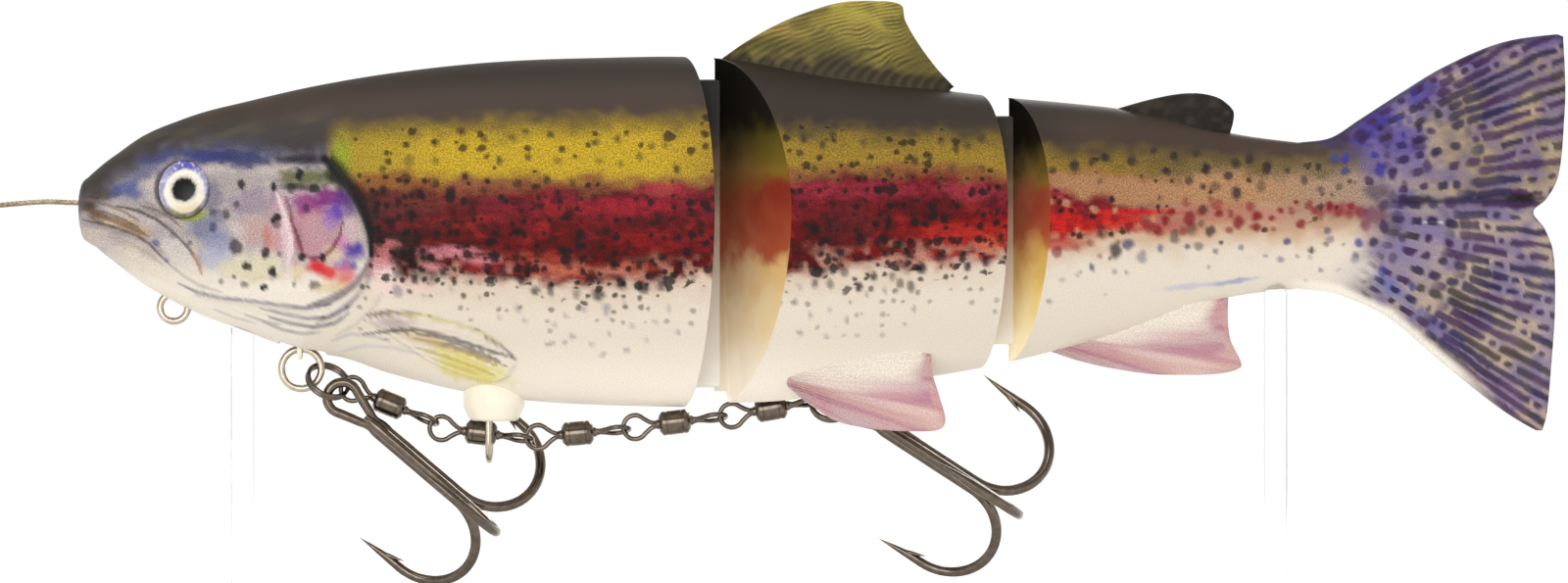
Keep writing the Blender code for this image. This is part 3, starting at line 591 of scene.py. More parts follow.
def frames_along(path: Sequence[Vector], closed: bool) -> list[Matrix]:
    """Matrices along a path whose Z follows it and whose X turns as little as it can.

    Args:
        path: Points of the path.
        closed: Whether the last point leads back to the first.

    Returns:
        One matrix for each point.
    """
    count = len(path)
    headings = []
    for i in range(count):
        before = path[i - 1] if closed or i else path[0]
        after = path[(i + 1) % count] if closed or i < count - 1 else path[-1]
        headings.append((after - before).normalized())
    side = headings[0].orthogonal().normalized()
    frames = []
    for point, heading in zip(path, headings, strict=True):
        side = (side - heading * side.dot(heading)).normalized()
        up = heading.cross(side)
        frames.append(Matrix.Translation(point) @ Matrix((side, up, heading)).transposed().to_4x4())
    return frames


def sweep(
    mesh: BMesh,
    path: Sequence[Vector],
    radii: float | Sequence[float],
    sides: int = 12,
    closed: bool = False,
    lobes: tuple[int, float, float] | None = None,
) -> None:
    """Draw a round wire along a path by extruding one ring from point to point.

    Args:
        mesh: The bmesh that the wire is added to.
        path: Points of the path, in millimetres.
        radii: One radius, or one for each point.
        sides: Sides of the ring.
        closed: Whether the wire joins its own start.
        lobes: Strand count, depth of the grooves between strands and their twist per point, in radians.
    """
    frames = frames_along(path, closed)
    sizes = [radii] * len(path) if isinstance(radii, (int, float)) else list(radii)
    made = bmesh.ops.create_circle(mesh, cap_ends=False, segments=sides, radius=1.0)["verts"]
    ring = sorted(made, key=lambda vertex: math.atan2(vertex.co.y, vertex.co.x))
    first = ring
    edges = list({edge for vertex in ring for edge in vertex.link_edges})
    shape = [vertex.co.copy() for vertex in ring]

    def lay(vertices: Sequence[BMVert], index: int) -> None:
        """Put one ring where it belongs."""
        for corner, vertex in zip(shape, vertices, strict=True):
            size = sizes[index]
            if lobes:
                count, depth, twist = lobes
                angle = math.atan2(corner.y, corner.x) + twist * index
                size *= 1.0 - depth * (1.0 - abs(math.cos(0.5 * count * angle)))
            vertex.co = frames[index] @ (corner * size)

    lay(ring, 0)
    for index in range(1, len(path)):
        grown = bmesh.ops.extrude_edge_only(mesh, edges=edges)["geom"]
        fresh = {item for item in grown if isinstance(item, BMVert)}
        edges = [item for item in grown if isinstance(item, BMEdge) and set(item.verts) <= fresh]
        follow = []
        for vertex in ring:
            others = [edge.other_vert(vertex) for edge in vertex.link_edges]
            follow.append(next(other for other in others if other in fresh))
        ring = follow
        lay(ring, index)
    if closed:
        start = [edge for edge in {e for v in first for e in v.link_edges} if set(edge.verts) <= set(first)]
        bmesh.ops.bridge_loops(mesh, edges=start + edges)
    else:
        for rim in (first, ring):
            bmesh.ops.contextual_create(mesh, geom=rim)


def lathe(mesh: BMesh, profile: Pairs, sides: int = 32) -> None:
    """Turn an (x, radius) outline about the X axis; radii of 0 at its ends close it.

    Args:
        mesh: The bmesh that the turned shape is added to.
        profile: Points of the outline, in millimetres.
        sides: Steps of the turn.
    """
    start = bmesh.ops.create_vert(mesh, co=(profile[0][0], profile[0][1], 0.0))["vert"][0]
    chain: list = [start]
    tip = start
    for x, radius in profile[1:]:
        grown = bmesh.ops.extrude_vert_indiv(mesh, verts=[tip])
        tip = grown["verts"][0]
        tip.co = Vector((x, radius, 0.0))
        chain += [tip, *grown["edges"]]
    bmesh.ops.spin(
        mesh, geom=chain, cent=(0, 0, 0), axis=(1, 0, 0), angle=math.tau, steps=sides, use_merge=True
    )
    fresh = [vertex for vertex in mesh.verts if vertex.is_valid]
    bmesh.ops.remove_doubles(mesh, verts=fresh, dist=WELD)
    outward(mesh)


def outward(mesh: BMesh) -> None:
    """Point every face of a closed bmesh outwards."""
    bmesh.ops.recalc_face_normals(mesh, faces=mesh.faces)


def turned(angle_deg: float, axis: str) -> Matrix:
    """Matrix of a turn about one axis."""
    return Matrix.Rotation(math.radians(angle_deg), 4, axis)


def mirrored(mesh: BMesh) -> None:
    """Add the right half to a left one and close the seam."""
    everything = [*mesh.verts, *mesh.edges, *mesh.faces]
    bmesh.ops.mirror(mesh, geom=everything, matrix=Matrix.Identity(4), merge_dist=SEAM, axis="Y")
    outward(mesh)


def flat(*points: Pair) -> list[Vector]:
    """Points of the middle plane, from pairs of x and z."""
    return [Vector((x, 0, z)) for x, z in points]


def arc_points(radius: float, start_deg: float, sweep_deg: float, count: int) -> list[Vector]:
    """Points of an arc in the XZ plane about the origin; a full turn leaves out its last point."""
    steps = count if abs(sweep_deg) == 360.0 else count - 1
    angles = [math.radians(start_deg + sweep_deg * i / steps) for i in range(count)]
    return flat(*((radius * math.cos(a), radius * math.sin(a)) for a in angles))


def moved(mesh: BMesh, matrix: Matrix) -> None:
    """Carry a whole bmesh by a matrix in millimetres."""
    bmesh.ops.transform(mesh, matrix=matrix, verts=mesh.verts)


def placed(centre: Sequence[float], turn: Matrix) -> Matrix:
    """Matrix of a turn followed by a move, in millimetres."""
    return Matrix.Translation(Vector(centre)) @ turn


# ---- The trout's form ----

@dataclass(frozen=True)
class TroutForm:
    """Smooth body of the trout, before joints and relief."""

    back: Profile = Profile((
        (-100, 66.7), (-99.2, 68.6), (-97.4, 70.4), (-95.1, 72.2), (-90.8, 75), (-84.2, 77.7), (-77.6, 79.4),
        (-68.4, 81.5), (-57.8, 83.3), (-45, 84.7), (-31.4, 85.3), (-14.6, 85.3), (1.9, 83), (20.9, 80.4),
        (34.5, 79.1), (41, 78.3), (55.6, 75.1), (66, 73.7),
    ))
    belly: Profile = Profile((
        (-100, 61.4), (-97.4, 59.6), (-94.7, 57.5), (-90.8, 54.6), (-84.2, 51.1), (-77.6, 48.6), (-70.5, 46),
        (-64.4, 45), (-57.8, 42.8), (-47.3, 40.3), (-36.7, 39), (-20, 38.4), (-5, 38.6), (8.1, 41.3),
        (21.2, 43.6), (30.5, 45.7), (45, 49.6), (54.3, 53), (66, 54.5),
    ))
    half: Profile = Profile((
        (-100, 2.3), (-99, 3.6), (-96.5, 5.4), (-92, 7.4), (-84, 9.7), (-74, 11.6), (-60, 13),
        (-42, 13.6), (-12, 13.5), (6, 12.2), (25, 10), (42, 7.2), (55, 4.7), (66, 3.1),
    ))
    widest_share: float = 0.57
    upper_roundness: float = 1.95
    lower_roundness: float = 1.85
    nose_x: float = -100.0
    nose_round: float = 1.1

    def ring(self, x: Array, angle: Array) -> tuple[Array, ...]:
        """Points of the left flank at stations and angles round them, with their outward normals.

        Args:
            x: Station of each point.
            angle: Angle of each point, from pi/2 on the back to -pi/2 on the belly.

        Returns:
            Arrays y, z, normal y and normal z.
        """
        inner = np.maximum(x, self.nose_x + self.nose_round)
        back, belly, half = self.back.at(inner), self.belly.at(inner), self.half.at(inner)
        middle = belly + self.widest_share * (back - belly)
        side, rise = np.cos(angle), np.sin(angle)
        upper = rise > 0
        power = np.where(upper, self.upper_roundness, self.lower_roundness)
        reach = np.where(upper, back - middle, middle - belly)
        across = np.abs(side) ** (2 / power)
        up = np.sign(rise) * np.abs(rise) ** (2 / power)
        dome = np.sqrt(np.clip(1 - ((inner - x) / self.nose_round) ** 2, 0, 1))
        normal_y = -(across ** (power - 1)) / half
        normal_z = np.sign(up) * np.abs(up) ** (power - 1) / reach
        length = np.hypot(normal_y, normal_z)
        return -half * across * dome, middle + reach * up * dome, normal_y / length, normal_z / length

    def flank(self, x: float, z: float) -> float:
        """Half width of the body at a station and height."""
        back, belly, half = (float(p.at(x)) for p in (self.back, self.belly, self.half))
        middle = belly + self.widest_share * (back - belly)
        upper = z > middle
        reach = back - middle if upper else middle - belly
        power = self.upper_roundness if upper else self.lower_roundness
        share = min(abs(z - middle) / reach, 1)
        return half * (1 - share**power) ** (1 / power)


FORM = TroutForm()


@dataclass(frozen=True)
class Ridge:
    """Raised or sunk line in the moulding."""

    points: Pairs
    height: float
    width: float


@dataclass(frozen=True)
class Plate:
    """Raised plate in the moulding, within an outline."""

    outline: Pairs
    height: float
    edge: float


PLATES = (
    # gill cover
    Plate(((-73.7, 67.9), (-72.4, 71.2), (-69.3, 72.1), (-66.9, 70), (-65.4, 68.2), (-63.9, 66.4),
        (-62.4, 64.3), (-61.5, 62.4), (-60.7, 60), (-60.6, 58.2), (-61.8, 55.8), (-63.6, 54), (-66.3, 52.5),
        (-69.3, 52.1), (-72.4, 52), (-76.9, 52.6), (-80.8, 52.9), (-84.5, 53.3), (-82, 56), (-78.5, 59),
        (-75.4, 62), (-74.2, 65)), 0.75, 0.75),
    # front plate of the cheek
    Plate(((-73.4, 69.5), (-71.8, 66.1), (-70.9, 63.5), (-70.2, 61.5), (-70.3, 58.8), (-71.6, 56.6),
        (-76, 56), (-80, 58), (-80, 63), (-78, 68), (-75, 70.2)), 0.3, 0.8),
    # upper jaw bone
    Plate(((-99.3, 66.1), (-96.6, 65.9), (-93.6, 64.7), (-90.5, 63.9), (-88.1, 63.1), (-86.3, 61.8),
        (-84.8, 60.3), (-83.7, 58.5), (-83.3, 57), (-83.7, 56.1), (-85.7, 57), (-87.8, 58.2), (-89.3, 59.9),
        (-90.5, 60.9), (-92.3, 61.5), (-94.8, 62.4), (-97.2, 63.1), (-99.6, 63.5)), 0.42, 0.5),
    # gill membranes, each lapping the one below
    Plate(((-84, 53.5), (-76, 52.4), (-69.3, 51.2), (-66.4, 51.9), (-63.8, 53.6), (-66, 56),
        (-76, 56)), 0.32, 0.35),
    Plate(((-82, 53.2), (-76, 51.3), (-70.6, 50), (-66.9, 50.4), (-64.2, 51.7), (-66, 56),
        (-76, 56)), 0.28, 0.35),
    Plate(((-80, 52), (-76, 49.9), (-72.4, 48.9), (-69.9, 48.4), (-67.2, 48.9), (-65.4, 50.2), (-68, 55),
        (-76, 55)), 0.25, 0.35),
    # pectoral fin, laid back against the flank
    Plate(((-61.2, 50.4), (-58.6, 50.9), (-54, 50.5), (-50.8, 49.8), (-47.6, 48.9), (-45, 47.8),
        (-42.8, 46.4), (-41.1, 44.4), (-42.2, 42.6), (-43.8, 41.8), (-47, 42.4), (-50, 43.4), (-53.2, 44.8),
        (-56.8, 47.2), (-59.6, 49.2)), 0.75, 0.55),
)
PECTORAL_FIN = PLATES[-1]

RIDGES = (
    # crease of the mouth
    Ridge(((-100.2, 63.2), (-97.2, 62.8), (-94.8, 62.1), (-92.3, 61.2), (-90.5, 60.6), (-89.2, 59.6),
        (-87.6, 57.9)), -0.55, 0.55),
    # crease above the upper jaw bone
    Ridge(((-95, 65.6), (-93.4, 65.1), (-90.4, 64.3), (-87.9, 63.5), (-86, 62.1), (-84.4, 60.5),
        (-83.2, 58.5), (-82.8, 57)), -0.3, 0.5),
    # lip fold and chin fold
    Ridge(((-99, 61.7), (-96.2, 61.1), (-93.2, 59.9), (-90.6, 58.4), (-88.6, 56.7)), -0.22, 0.6),
    Ridge(((-98.6, 60.4), (-95.2, 59), (-91.6, 57), (-88.4, 54.8), (-84.8, 53.6)), -0.16, 0.7),
    # cheek plate's rear line
    Ridge(((-73.7, 67.9), (-72.7, 65.8), (-71.8, 63.4), (-71, 61.8), (-71.2, 59.4),
        (-72.1, 57.9)), 0.2, 0.6),
    Ridge(((-72.1, 66.1), (-71.2, 64), (-70.2, 61.5), (-70.1, 58.8)), -0.25, 0.5),
    Ridge(((-69.8, 58.4), (-67.8, 58.7), (-66.3, 59.6), (-65.1, 60.9), (-64.6, 62.4),
        (-64.5, 63.7)), -0.22, 0.45),
    # top edge and rays of the pectoral fin
    Ridge(((-60.6, 50.6), (-56, 50.6), (-51, 49.6), (-46.2, 48), (-43, 46)), 0.3, 0.5),
    Ridge(((-60, 49.4), (-54.2, 49.2), (-49.6, 47.6), (-45, 46), (-42.4, 45)), 0.22, 0.45),
    Ridge(((-59, 48.8), (-54, 48), (-49.6, 46.4), (-45.6, 44.8), (-42.6, 43.6)), 0.22, 0.45),
    Ridge(((-57, 47.8), (-53, 46.6), (-49, 45), (-45.4, 43.4)), 0.22, 0.45),
    # nostril fold
    Ridge(((-93.6, 70), (-92.6, 70.6), (-91.6, 70.2)), -0.3, 0.5),
)


@dataclass(frozen=True)
class Relief:
    """Everything that stands proud of the smooth form or is sunk into it, on each flank alike."""

    socket_centre: Pair = (-86.05, 67.65)
    socket_radii: Pair = (3.75, 3.95)
    socket_depth: float = 1.0
    socket_lip: float = 0.12
    exit_pocket: tuple[float, float, float, float] = (-72.8, -66.9, 1.75, 48.3)
    belly_slot: tuple[float, float, float, float] = (-16.0, 5.6, 2.3, 40.5)
    ring_recess: tuple[float, float, float, float] = (-2.6, 6.6, 3.0, 42.7)

    def height(self, x: Array, z: Array) -> Array:
        """Height of the relief above the smooth flank at each (x, z).

        Args:
            x: Stations.
            z: Heights.

        Returns:
            Heights in millimetres along the normal.
        """
        total = np.zeros(x.shape)
        for plate in PLATES:
            depth = Track(plate.outline).depth(x, z)
            total += plate.height * smooth(depth, -0.25 * plate.edge, 0.75 * plate.edge)
        for ridge in RIDGES:
            gap, share = Track(ridge.points).gap(x, z)
            fade = smooth(share, 0, 0.12) * smooth(1 - share, 0, 0.12)
            total += ridge.height * fade * (1 - smooth(gap, 0, ridge.width))
        across = (x - self.socket_centre[0]) / self.socket_radii[0]
        up = (z - self.socket_centre[1]) / self.socket_radii[1]
        out = np.hypot(across, up)
        total += self.socket_lip * bump(out, 1.1, 0.28) - self.socket_depth * (1 - smooth(out, 0.9, 1.03))
        brow = smooth(z, 69, 72.5) * (1 - smooth(z, 73.5, 77)) * bump(x, -86, 9)
        return total + 0.35 * brow

    def pockets(self, points: Array) -> None:
        """Raise the belly skin inside the pocket, slot and recess that the rig sits in."""
        for low, high, half, top in (self.exit_pocket, self.belly_slot, self.ring_recess):
            x, y, z = points[..., 0], np.abs(points[..., 1]), points[..., 2]
            inside = smooth(x, low - 0.2, low + 0.2) * (1 - smooth(x, high - 0.2, high + 0.2))
            inside *= 1 - smooth(y, half - 0.25, half + 0.25)
            lift = np.maximum(top - z, 0) * inside * (z < top)
            points[..., 2] = z + lift


RELIEF = Relief()


# ---- The print ----

@dataclass(frozen=True)
class Wash:
    """Soft patch of colour: centre, reaches, colour and strength."""

    x: float
    z: float
    reach_x: float
    reach_z: float
    colour: Colour
    strength: float
    turn_deg: float = 0.0


@dataclass(frozen=True)
class Stroke:
    """Painted line: points, half width, colour and strength."""

    points: Pairs
    width: float
    colour: Colour
    strength: float


@dataclass(frozen=True)
class Blotches:
    """Soft-edged spots of one ink, each with its place and, where it isn't the usual one, its radius."""

    ink: Colour
    places: Sequence[tuple[float, ...]]
    radius: float = 0.62
    strength: float = 0.92
    edge: Pair = (0.55, 1.25)


def washes(*rows: tuple[float, ...]) -> tuple[Wash, ...]:
    """Patches from rows of their values, in the order of Wash's fields."""
    return tuple(Wash(*row) for row in rows)


def strokes(*rows: tuple) -> tuple[Stroke, ...]:
    """Lines from rows of their values, in the order of Stroke's fields."""
    return tuple(Stroke(*row) for row in rows)


INK = 0x181113
TRUNK_BLOTCHES = (
    # along the gold band
    Blotches(0x3A3222, ((-52, 74), (-48.5, 75.5), (-45.5, 74.5), (-41.5, 74.5), (-40, 75.5), (-36.5, 75),
        (-30.5, 74), (-27.5, 74.5), (-23, 73.5), (-21, 73.5), (-59, 70.5), (-55.5, 71.5, 0.85), (-52, 71.5),
        (-43.5, 71.5), (-39.5, 72), (-35.5, 71.5), (-30, 71.5), (-24.5, 72), (-27, 71), (-19.5, 70.5),
        (1.5, 75), (0, 73.5), (5.5, 74), (-2.5, 74.5), (-3, 72.5), (12, 75.5), (16, 74), (18, 73),
        (19.5, 73.5), (12.5, 71.5), (14.5, 72), (17.5, 70.5), (21.5, 70.5), (21.5, 74.5), (11.5, 69.5),
        (9, 70), (-1, 70.5), (5.5, 69.5), (7.5, 69.5), (41.5, 71.5), (46.5, 70), (38, 72), (34, 71),
        (29, 71.5), (31, 70.2), (51.5, 70.5), (55.5, 71.5), (60, 71)), 0.55, 0.85),
    # along the top of the red band
    Blotches(INK, ((-56, 69, 0.9), (-52, 68.5), (-48, 69.5), (-45.5, 67.5), (-43, 66.5), (-41, 68.5),
        (-38.5, 68), (-37, 69), (-33.5, 68.5), (-35.5, 67), (-30.5, 66.5), (-38, 65.5), (-34, 64.5),
        (-47, 66), (-47, 64.5), (-54, 67), (-50, 67.2, 0.8), (-59, 67.5), (-57, 66), (-60, 65))),
    # in the red band
    Blotches(INK, ((-58, 63, 1), (-55.5, 64.5), (-54.5, 61, 0.95), (-57, 59, 1.35), (-55, 57.5, 0.9),
        (-50, 63), (-52, 61.5), (-45.5, 62.5), (-41, 62, 0.9), (-44.5, 60.5, 0.9), (-38, 59, 0.9),
        (-41, 58.5), (-36.5, 60.5), (-32.5, 61.5, 0.9), (-32.4, 60, 0.8), (-35, 59.5), (-28, 57.5),
        (-24.5, 57.5), (-19, 57.5), (-22, 60.5), (-19.5, 61), (-26, 60), (-29, 62), (-22, 64),
        (-21.5, 58.5), (0.5, 63, 1.2), (-1, 62.4, 0.9), (-2.5, 65.5), (1.5, 65.5), (10.5, 65.5),
        (7.5, 67.5), (16.5, 63.5), (9, 63), (7.5, 60.5), (5, 58.5, 0.9), (10.5, 60.5), (8.5, 59),
        (11.5, 59), (14, 60.5), (19, 59), (2.5, 59), (-59.5, 60.5, 0.9), (-53, 58.5, 0.8),
        (-48, 60)), 0.7, 0.95),
    # along its lower edge
    Blotches(0x1C161A, ((-51, 56.5), (-43, 56.5, 0.8), (-39.5, 57, 0.8), (-38.5, 54), (-36.5, 54),
        (-40.5, 55.5), (-31, 56, 0.95), (-30, 53.5, 0.9), (-33, 53.5), (-27, 55, 0.9), (-24, 54.5, 0.9),
        (-23, 56, 0.8), (-21.5, 54.5), (-45, 57), (-34, 57.4), (16, 58.5, 0.9), (13.5, 57, 0.85), (3, 56.5),
        (-1, 55), (1, 55), (7, 56), (5, 54.5), (9.5, 56), (10.5, 55), (19.6, 57.4), (22, 58), (-3, 57.4),
        (12, 54.6), (-57, 56.6, 0.8), (-54.8, 55.6)), 0.68, 0.92),
    # dark spots on the tail stalk
    Blotches(0x2C2428, ((34, 70.9, 0.95), (38, 71.9), (41.8, 71.5), (36.2, 71.2, 0.45), (46.2, 70.2),
        (47.4, 72.2), (44.6, 72.8, 0.5), (51.6, 70.4, 0.75), (50.3, 72.4, 0.5), (55.7, 71), (57.5, 71.6),
        (59.8, 70.7, 0.85), (54.7, 69.4), (59.1, 68.1, 0.72), (55.7, 67.2, 0.9), (52.9, 68, 0.85),
        (51.3, 68, 0.45), (49.4, 68.8), (37.4, 68.8, 0.45), (43, 69.4, 0.4), (51.2, 64.9), (35.8, 64.5, 1),
        (33.7, 64.6, 0.45), (31.8, 64.7, 0.4), (37.7, 61.9, 0.9), (47.5, 61.4, 0.9), (49.7, 62.5, 0.95),
        (52.2, 62, 0.8), (50.9, 63, 0.6), (39.5, 59.6, 1.05), (50.6, 60), (64.9, 68.8), (67, 67.7, 0.55),
        (69.6, 68, 0.5), (65.8, 59.4, 0.5), (28.6, 66), (30.5, 62.6, 0.5), (28.4, 63, 0.6),
        (31.5, 67.4, 0.45), (45.4, 66.6, 0.4), (62.6, 70.2, 0.5), (66.8, 70.6, 0.5)), 0.66, 0.88),
    Blotches(0xB88464, ((28.4, 65.4, 0.6), (30.8, 66, 0.5), (34.4, 62.2, 0.5), (36.6, 65, 0.55),
        (38.4, 61.8, 0.6), (40.6, 61.9, 0.6), (42.6, 62.6, 0.5), (32.8, 65.8, 0.6), (39.4, 64.9, 0.5),
        (27.4, 61.4, 0.5), (31.4, 61.4, 0.5), (44.6, 63.6, 0.5)), 0.6, 0.75),
    # dark red patches that carry the band on to the tail fin
    Blotches(0x7A1422, ((49, 65.8, 0.7), (49.4, 63.8, 0.9), (48.6, 62, 0.7), (53.2, 65.6, 0.85),
        (53.3, 64.4, 0.6), (56, 63.2, 0.95), (54.8, 62.2, 0.6), (57.6, 65.4, 0.75), (58.4, 64, 0.8),
        (58.3, 62.6, 0.7), (60.5, 63.8, 0.45), (63.2, 64.7, 0.65), (63.8, 65.9, 0.45), (65.5, 65.6, 0.7),
        (67, 64.2, 0.65), (69.5, 64.7, 0.75), (71.1, 65.3, 0.5), (34.2, 59.8, 0.7), (36.1, 60.5, 0.55),
        (31.5, 59.2, 0.8), (37.4, 58.7, 0.4), (44, 62.7, 0.95), (45.2, 62.2, 0.8), (41.2, 62.4, 0.6),
        (60.7, 62.3, 0.45), (27.6, 60.6, 0.8), (52.3, 66.4, 0.5), (43, 64.9, 0.45), (64.4, 63, 0.75),
        (73.2, 63, 1), (61.6, 64.8, 0.5), (66.2, 64.8, 0.6), (68.2, 65.4, 0.6), (72.6, 64.4, 0.9),
        (71, 64.2, 0.7), (50.8, 64.6, 0.6), (55, 64.4, 0.5), (47, 64.6, 0.6), (46.2, 63.4, 0.7),
        (27.6, 64.2, 0.8), (29.8, 62.2, 0.75), (31.6, 64.8, 0.7), (33.6, 62.8, 0.7), (35.4, 64.2, 0.7),
        (37.2, 62.9, 0.6), (39.4, 63.7, 0.6), (41.4, 62.8, 0.6), (28.8, 67.2, 0.7), (31.2, 67, 0.6),
        (34.4, 65.8, 0.6)), 0.8, 0.92),
    # pale blue-grey, on the belly
    Blotches(0x686E7C, ((-26.5, 52), (-29, 51.5, 0.7), (-32, 51.5), (-41, 51.5, 0.6), (-40, 50),
        (-57, 54, 0.8), (-53.6, 53.4), (-3, 54.5), (-3.5, 52.5), (6, 53.5), (8.5, 54), (-36, 49.4),
        (-33.6, 47.8), (-31, 46.8), (-28.6, 48.2), (-25.6, 49.2), (-22.4, 49.8), (-20.6, 51.6),
        (-23.6, 47.4), (-26.2, 46), (-29.6, 45.2), (-36.8, 46.8), (-34.4, 50.6), (-19.4, 48.4), (-46, 53.2),
        (-49.8, 54.2), (-43.4, 50.4), (-1.6, 50.6), (1, 51.4), (3.4, 50), (-3, 48.4), (0.6, 47.8),
        (12.4, 51.6), (29, 56), (32.4, 55.4), (34.4, 56.2), (30.6, 52.6), (27.4, 53.2), (28.4, 51.6),
        (36.4, 57), (39.4, 56.6)), 0.42, 0.6),
    # deep blue, under the red and ahead of the tail fin
    Blotches(0x3A4268, ((71.7, 58.4, 0.75), (73.8, 56.9, 0.9), (71.7, 55.8, 0.62), (62.5, 60.6, 0.55),
        (61.7, 58.2, 0.5), (59.7, 58.7, 0.3), (68, 62.1, 0.55), (68.3, 60.9, 0.62), (67.1, 56.8, 0.35),
        (43, 58.6, 0.85), (41.2, 60.3, 0.8), (45.5, 59.6), (49.1, 59.9, 0.4), (52.9, 59.3, 0.42),
        (56.4, 59.9, 0.42), (36.2, 57.3, 0.5), (70.4, 70.2, 0.7), (69, 72, 0.9),
        (41, 56.4, 0.3)), 0.55, 0.85),
)
HEAD_BLOTCHES = (
    Blotches(0x1A161C, ((-78.1, 68.3, 0.58), (-78.7, 65.6, 0.46), (-80.1, 64.4, 0.66), (-73.4, 63.7, 0.74),
        (-73.4, 63, 0.7), (-78.9, 59.9, 0.98), (-74.9, 59.3, 0.66), (-74.9, 58.8, 0.62),
        (-77.1, 57.3, 0.55), (-77.6, 57.3, 0.5), (-73.9, 56.6, 0.76), (-77.6, 54.8, 0.54),
        (-75.1, 54.4, 0.48), (-68.1, 54.8, 0.64), (-68.6, 54.8, 0.58), (-70, 58.6, 0.56),
        (-67.1, 58.3, 0.58), (-69.4, 65.2, 0.62), (-70.3, 69.6, 0.74), (-68.2, 67.7, 0.72),
        (-71.4, 67.9, 0.7), (-73.7, 68, 0.55)), 0.6, 0.97, (0.72, 1.16)),
    Blotches(0x424460, ((-81.9, 62.6, 0.6), (-81.9, 64.6, 0.6), (-87.3, 61.5, 0.56), (-80.8, 55.2, 0.44),
        (-79.1, 55.9, 0.4), (-73, 59, 0.35), (-71, 54.9, 0.34), (-85, 60.4, 0.35)), 0.5, 0.85, (0.6, 1.2)),
    Blotches(0x323E84, ((-89.5, 60.45, 0.56), (-88.1, 58.1, 0.3), (-62.9, 57.4, 0.5)), 0.5, 0.9,
        (0.6, 1.2)),
)
HEAD_WASHES = washes(
    # snout
    (-93.4, 66.8, 4, 2, 0x8C868A, 0.85), (-95, 67.4, 1.5, 1, 0x344276, 0.8, 30),
    (-93.4, 68, 2, 1, 0x404C80, 0.75, 35), (-97, 66.9, 2.6, 1, 0x463E38, 0.8),
    # blue round the top of the eye, and the band that runs back from it
    (-91.2, 70.6, 2, 2.6, 0x60607A, 0.85, -35), (-92.8, 67.2, 1.4, 1, 0x3E4A84, 0.7),
    (-88.6, 72.4, 4.4, 1.3, 0x3A3E70, 0.8, 12), (-82.6, 72.2, 4.6, 1.5, 0x2A326C, 0.92),
    (-77.4, 71.7, 5, 1.6, 0x2C325C, 0.9), (-77.6, 74.6, 8, 2.4, 0x363856, 0.75),
    (-70.6, 74.6, 5.6, 2.8, 0x322F32, 0.9),
    # cheek
    (-79, 68.6, 5, 2.2, 0x968C88, 0.8), (-76.4, 65.8, 4.4, 2.6, 0x867686, 0.75),
    (-82, 66.6, 1.8, 3.2, 0x625E74, 0.75), (-81, 63.8, 1.6, 1.4, 0x585670, 0.6),
    (-78.2, 62, 1.6, 1.4, 0xCEC4C6, 0.6), (-83.4, 62.6, 2.6, 2.2, 0x646882, 0.8, -30),
    (-81.4, 61, 3, 2.2, 0x7A809A, 0.75, -30), (-81.6, 58.6, 2.8, 2.2, 0x989EBA, 0.6),
    (-76.4, 62.2, 2.8, 2.4, 0xB2928C, 0.8), (-74.6, 61.2, 0.9, 2.2, 0xB26456, 0.65),
    (-73.4, 60.4, 1.2, 2, 0xBA787A, 0.6), (-84.6, 64, 2.6, 0.9, 0x8E9446, 0.9, 12),
    (-77, 57, 5.4, 2.4, 0xCEC4A0, 0.7),
    # gill cover
    (-68.4, 62.4, 5.4, 6.4, 0xAE7C84, 0.85), (-72.8, 64, 2.2, 4.4, 0xB88C96, 0.6),
    (-69.2, 65.8, 2.8, 1.9, 0x843876, 0.92), (-66.4, 66.6, 2.6, 1.7, 0x74246C, 0.95),
    (-64.6, 66.6, 1.2, 1.4, 0x502C70, 0.85), (-64.4, 60.4, 1.4, 1.2, 0xBC78A0, 0.7),
    (-67.8, 62, 2, 2.8, 0xB08A90, 0.9), (-65.4, 64.6, 1.8, 1.7, 0x5E3A92, 0.95),
    (-66.2, 63.4, 1.4, 1.6, 0x8E68A8, 0.6), (-63.4, 62.4, 1.2, 1.8, 0xBE9EA6, 0.75),
    (-63.6, 65.6, 1.1, 2.2, 0x5C3874, 0.85, 20), (-62.8, 59.4, 1.7, 1.5, 0x48328E, 0.95),
    (-64, 57.4, 1.7, 1.2, 0x845498, 0.85), (-66, 59.2, 1.4, 1.2, 0xCEBC94, 0.7),
    (-68, 57.2, 1.7, 1.2, 0xC41620, 0.95), (-66.4, 56.4, 2.2, 1.2, 0xCA2226, 0.92, -12),
    (-63.8, 56.4, 1.6, 1.2, 0xC45C6E, 0.7), (-64.2, 55.5, 1.8, 0.9, 0xCC685C, 0.85, 20),
    (-70.4, 56.4, 1, 1.3, 0xD0C098, 0.8), (-66.2, 54.4, 3.6, 1, 0xCEBA8C, 0.7),
    (-72, 60.6, 0.9, 4.2, 0xD6BABC, 0.75, 8), (-69.6, 69.2, 4.2, 1.7, 0x585A32, 0.92),
    (-66.4, 69.4, 1.6, 1.6, 0x464C28, 0.8, -40), (-70.6, 68, 3.4, 0.6, 0x2C2A38, 0.75),
    (-69.8, 71.6, 4.6, 0.9, 0x22202C, 0.9), (-65.4, 69.4, 1, 2.6, 0x22201E, 0.9, 30),
    # mouth
    (-98.6, 65.2, 1.7, 1.1, 0x423224, 0.9), (-97.4, 63.9, 1.8, 0.9, 0x604A34, 0.8, -12),
    (-93.4, 62.8, 4.2, 1.1, 0xAC9270, 0.75, -18), (-86.8, 59.8, 2.6, 2.4, 0xC6BEB8, 0.6),
    (-90, 65, 2.4, 1, 0x766E70, 0.6, -25), (-98.2, 61.9, 2.2, 1.1, 0xBAAE9E, 0.6),
    (-91, 57.6, 4, 1.1, 0xD6C8B6, 0.6, -30),
)
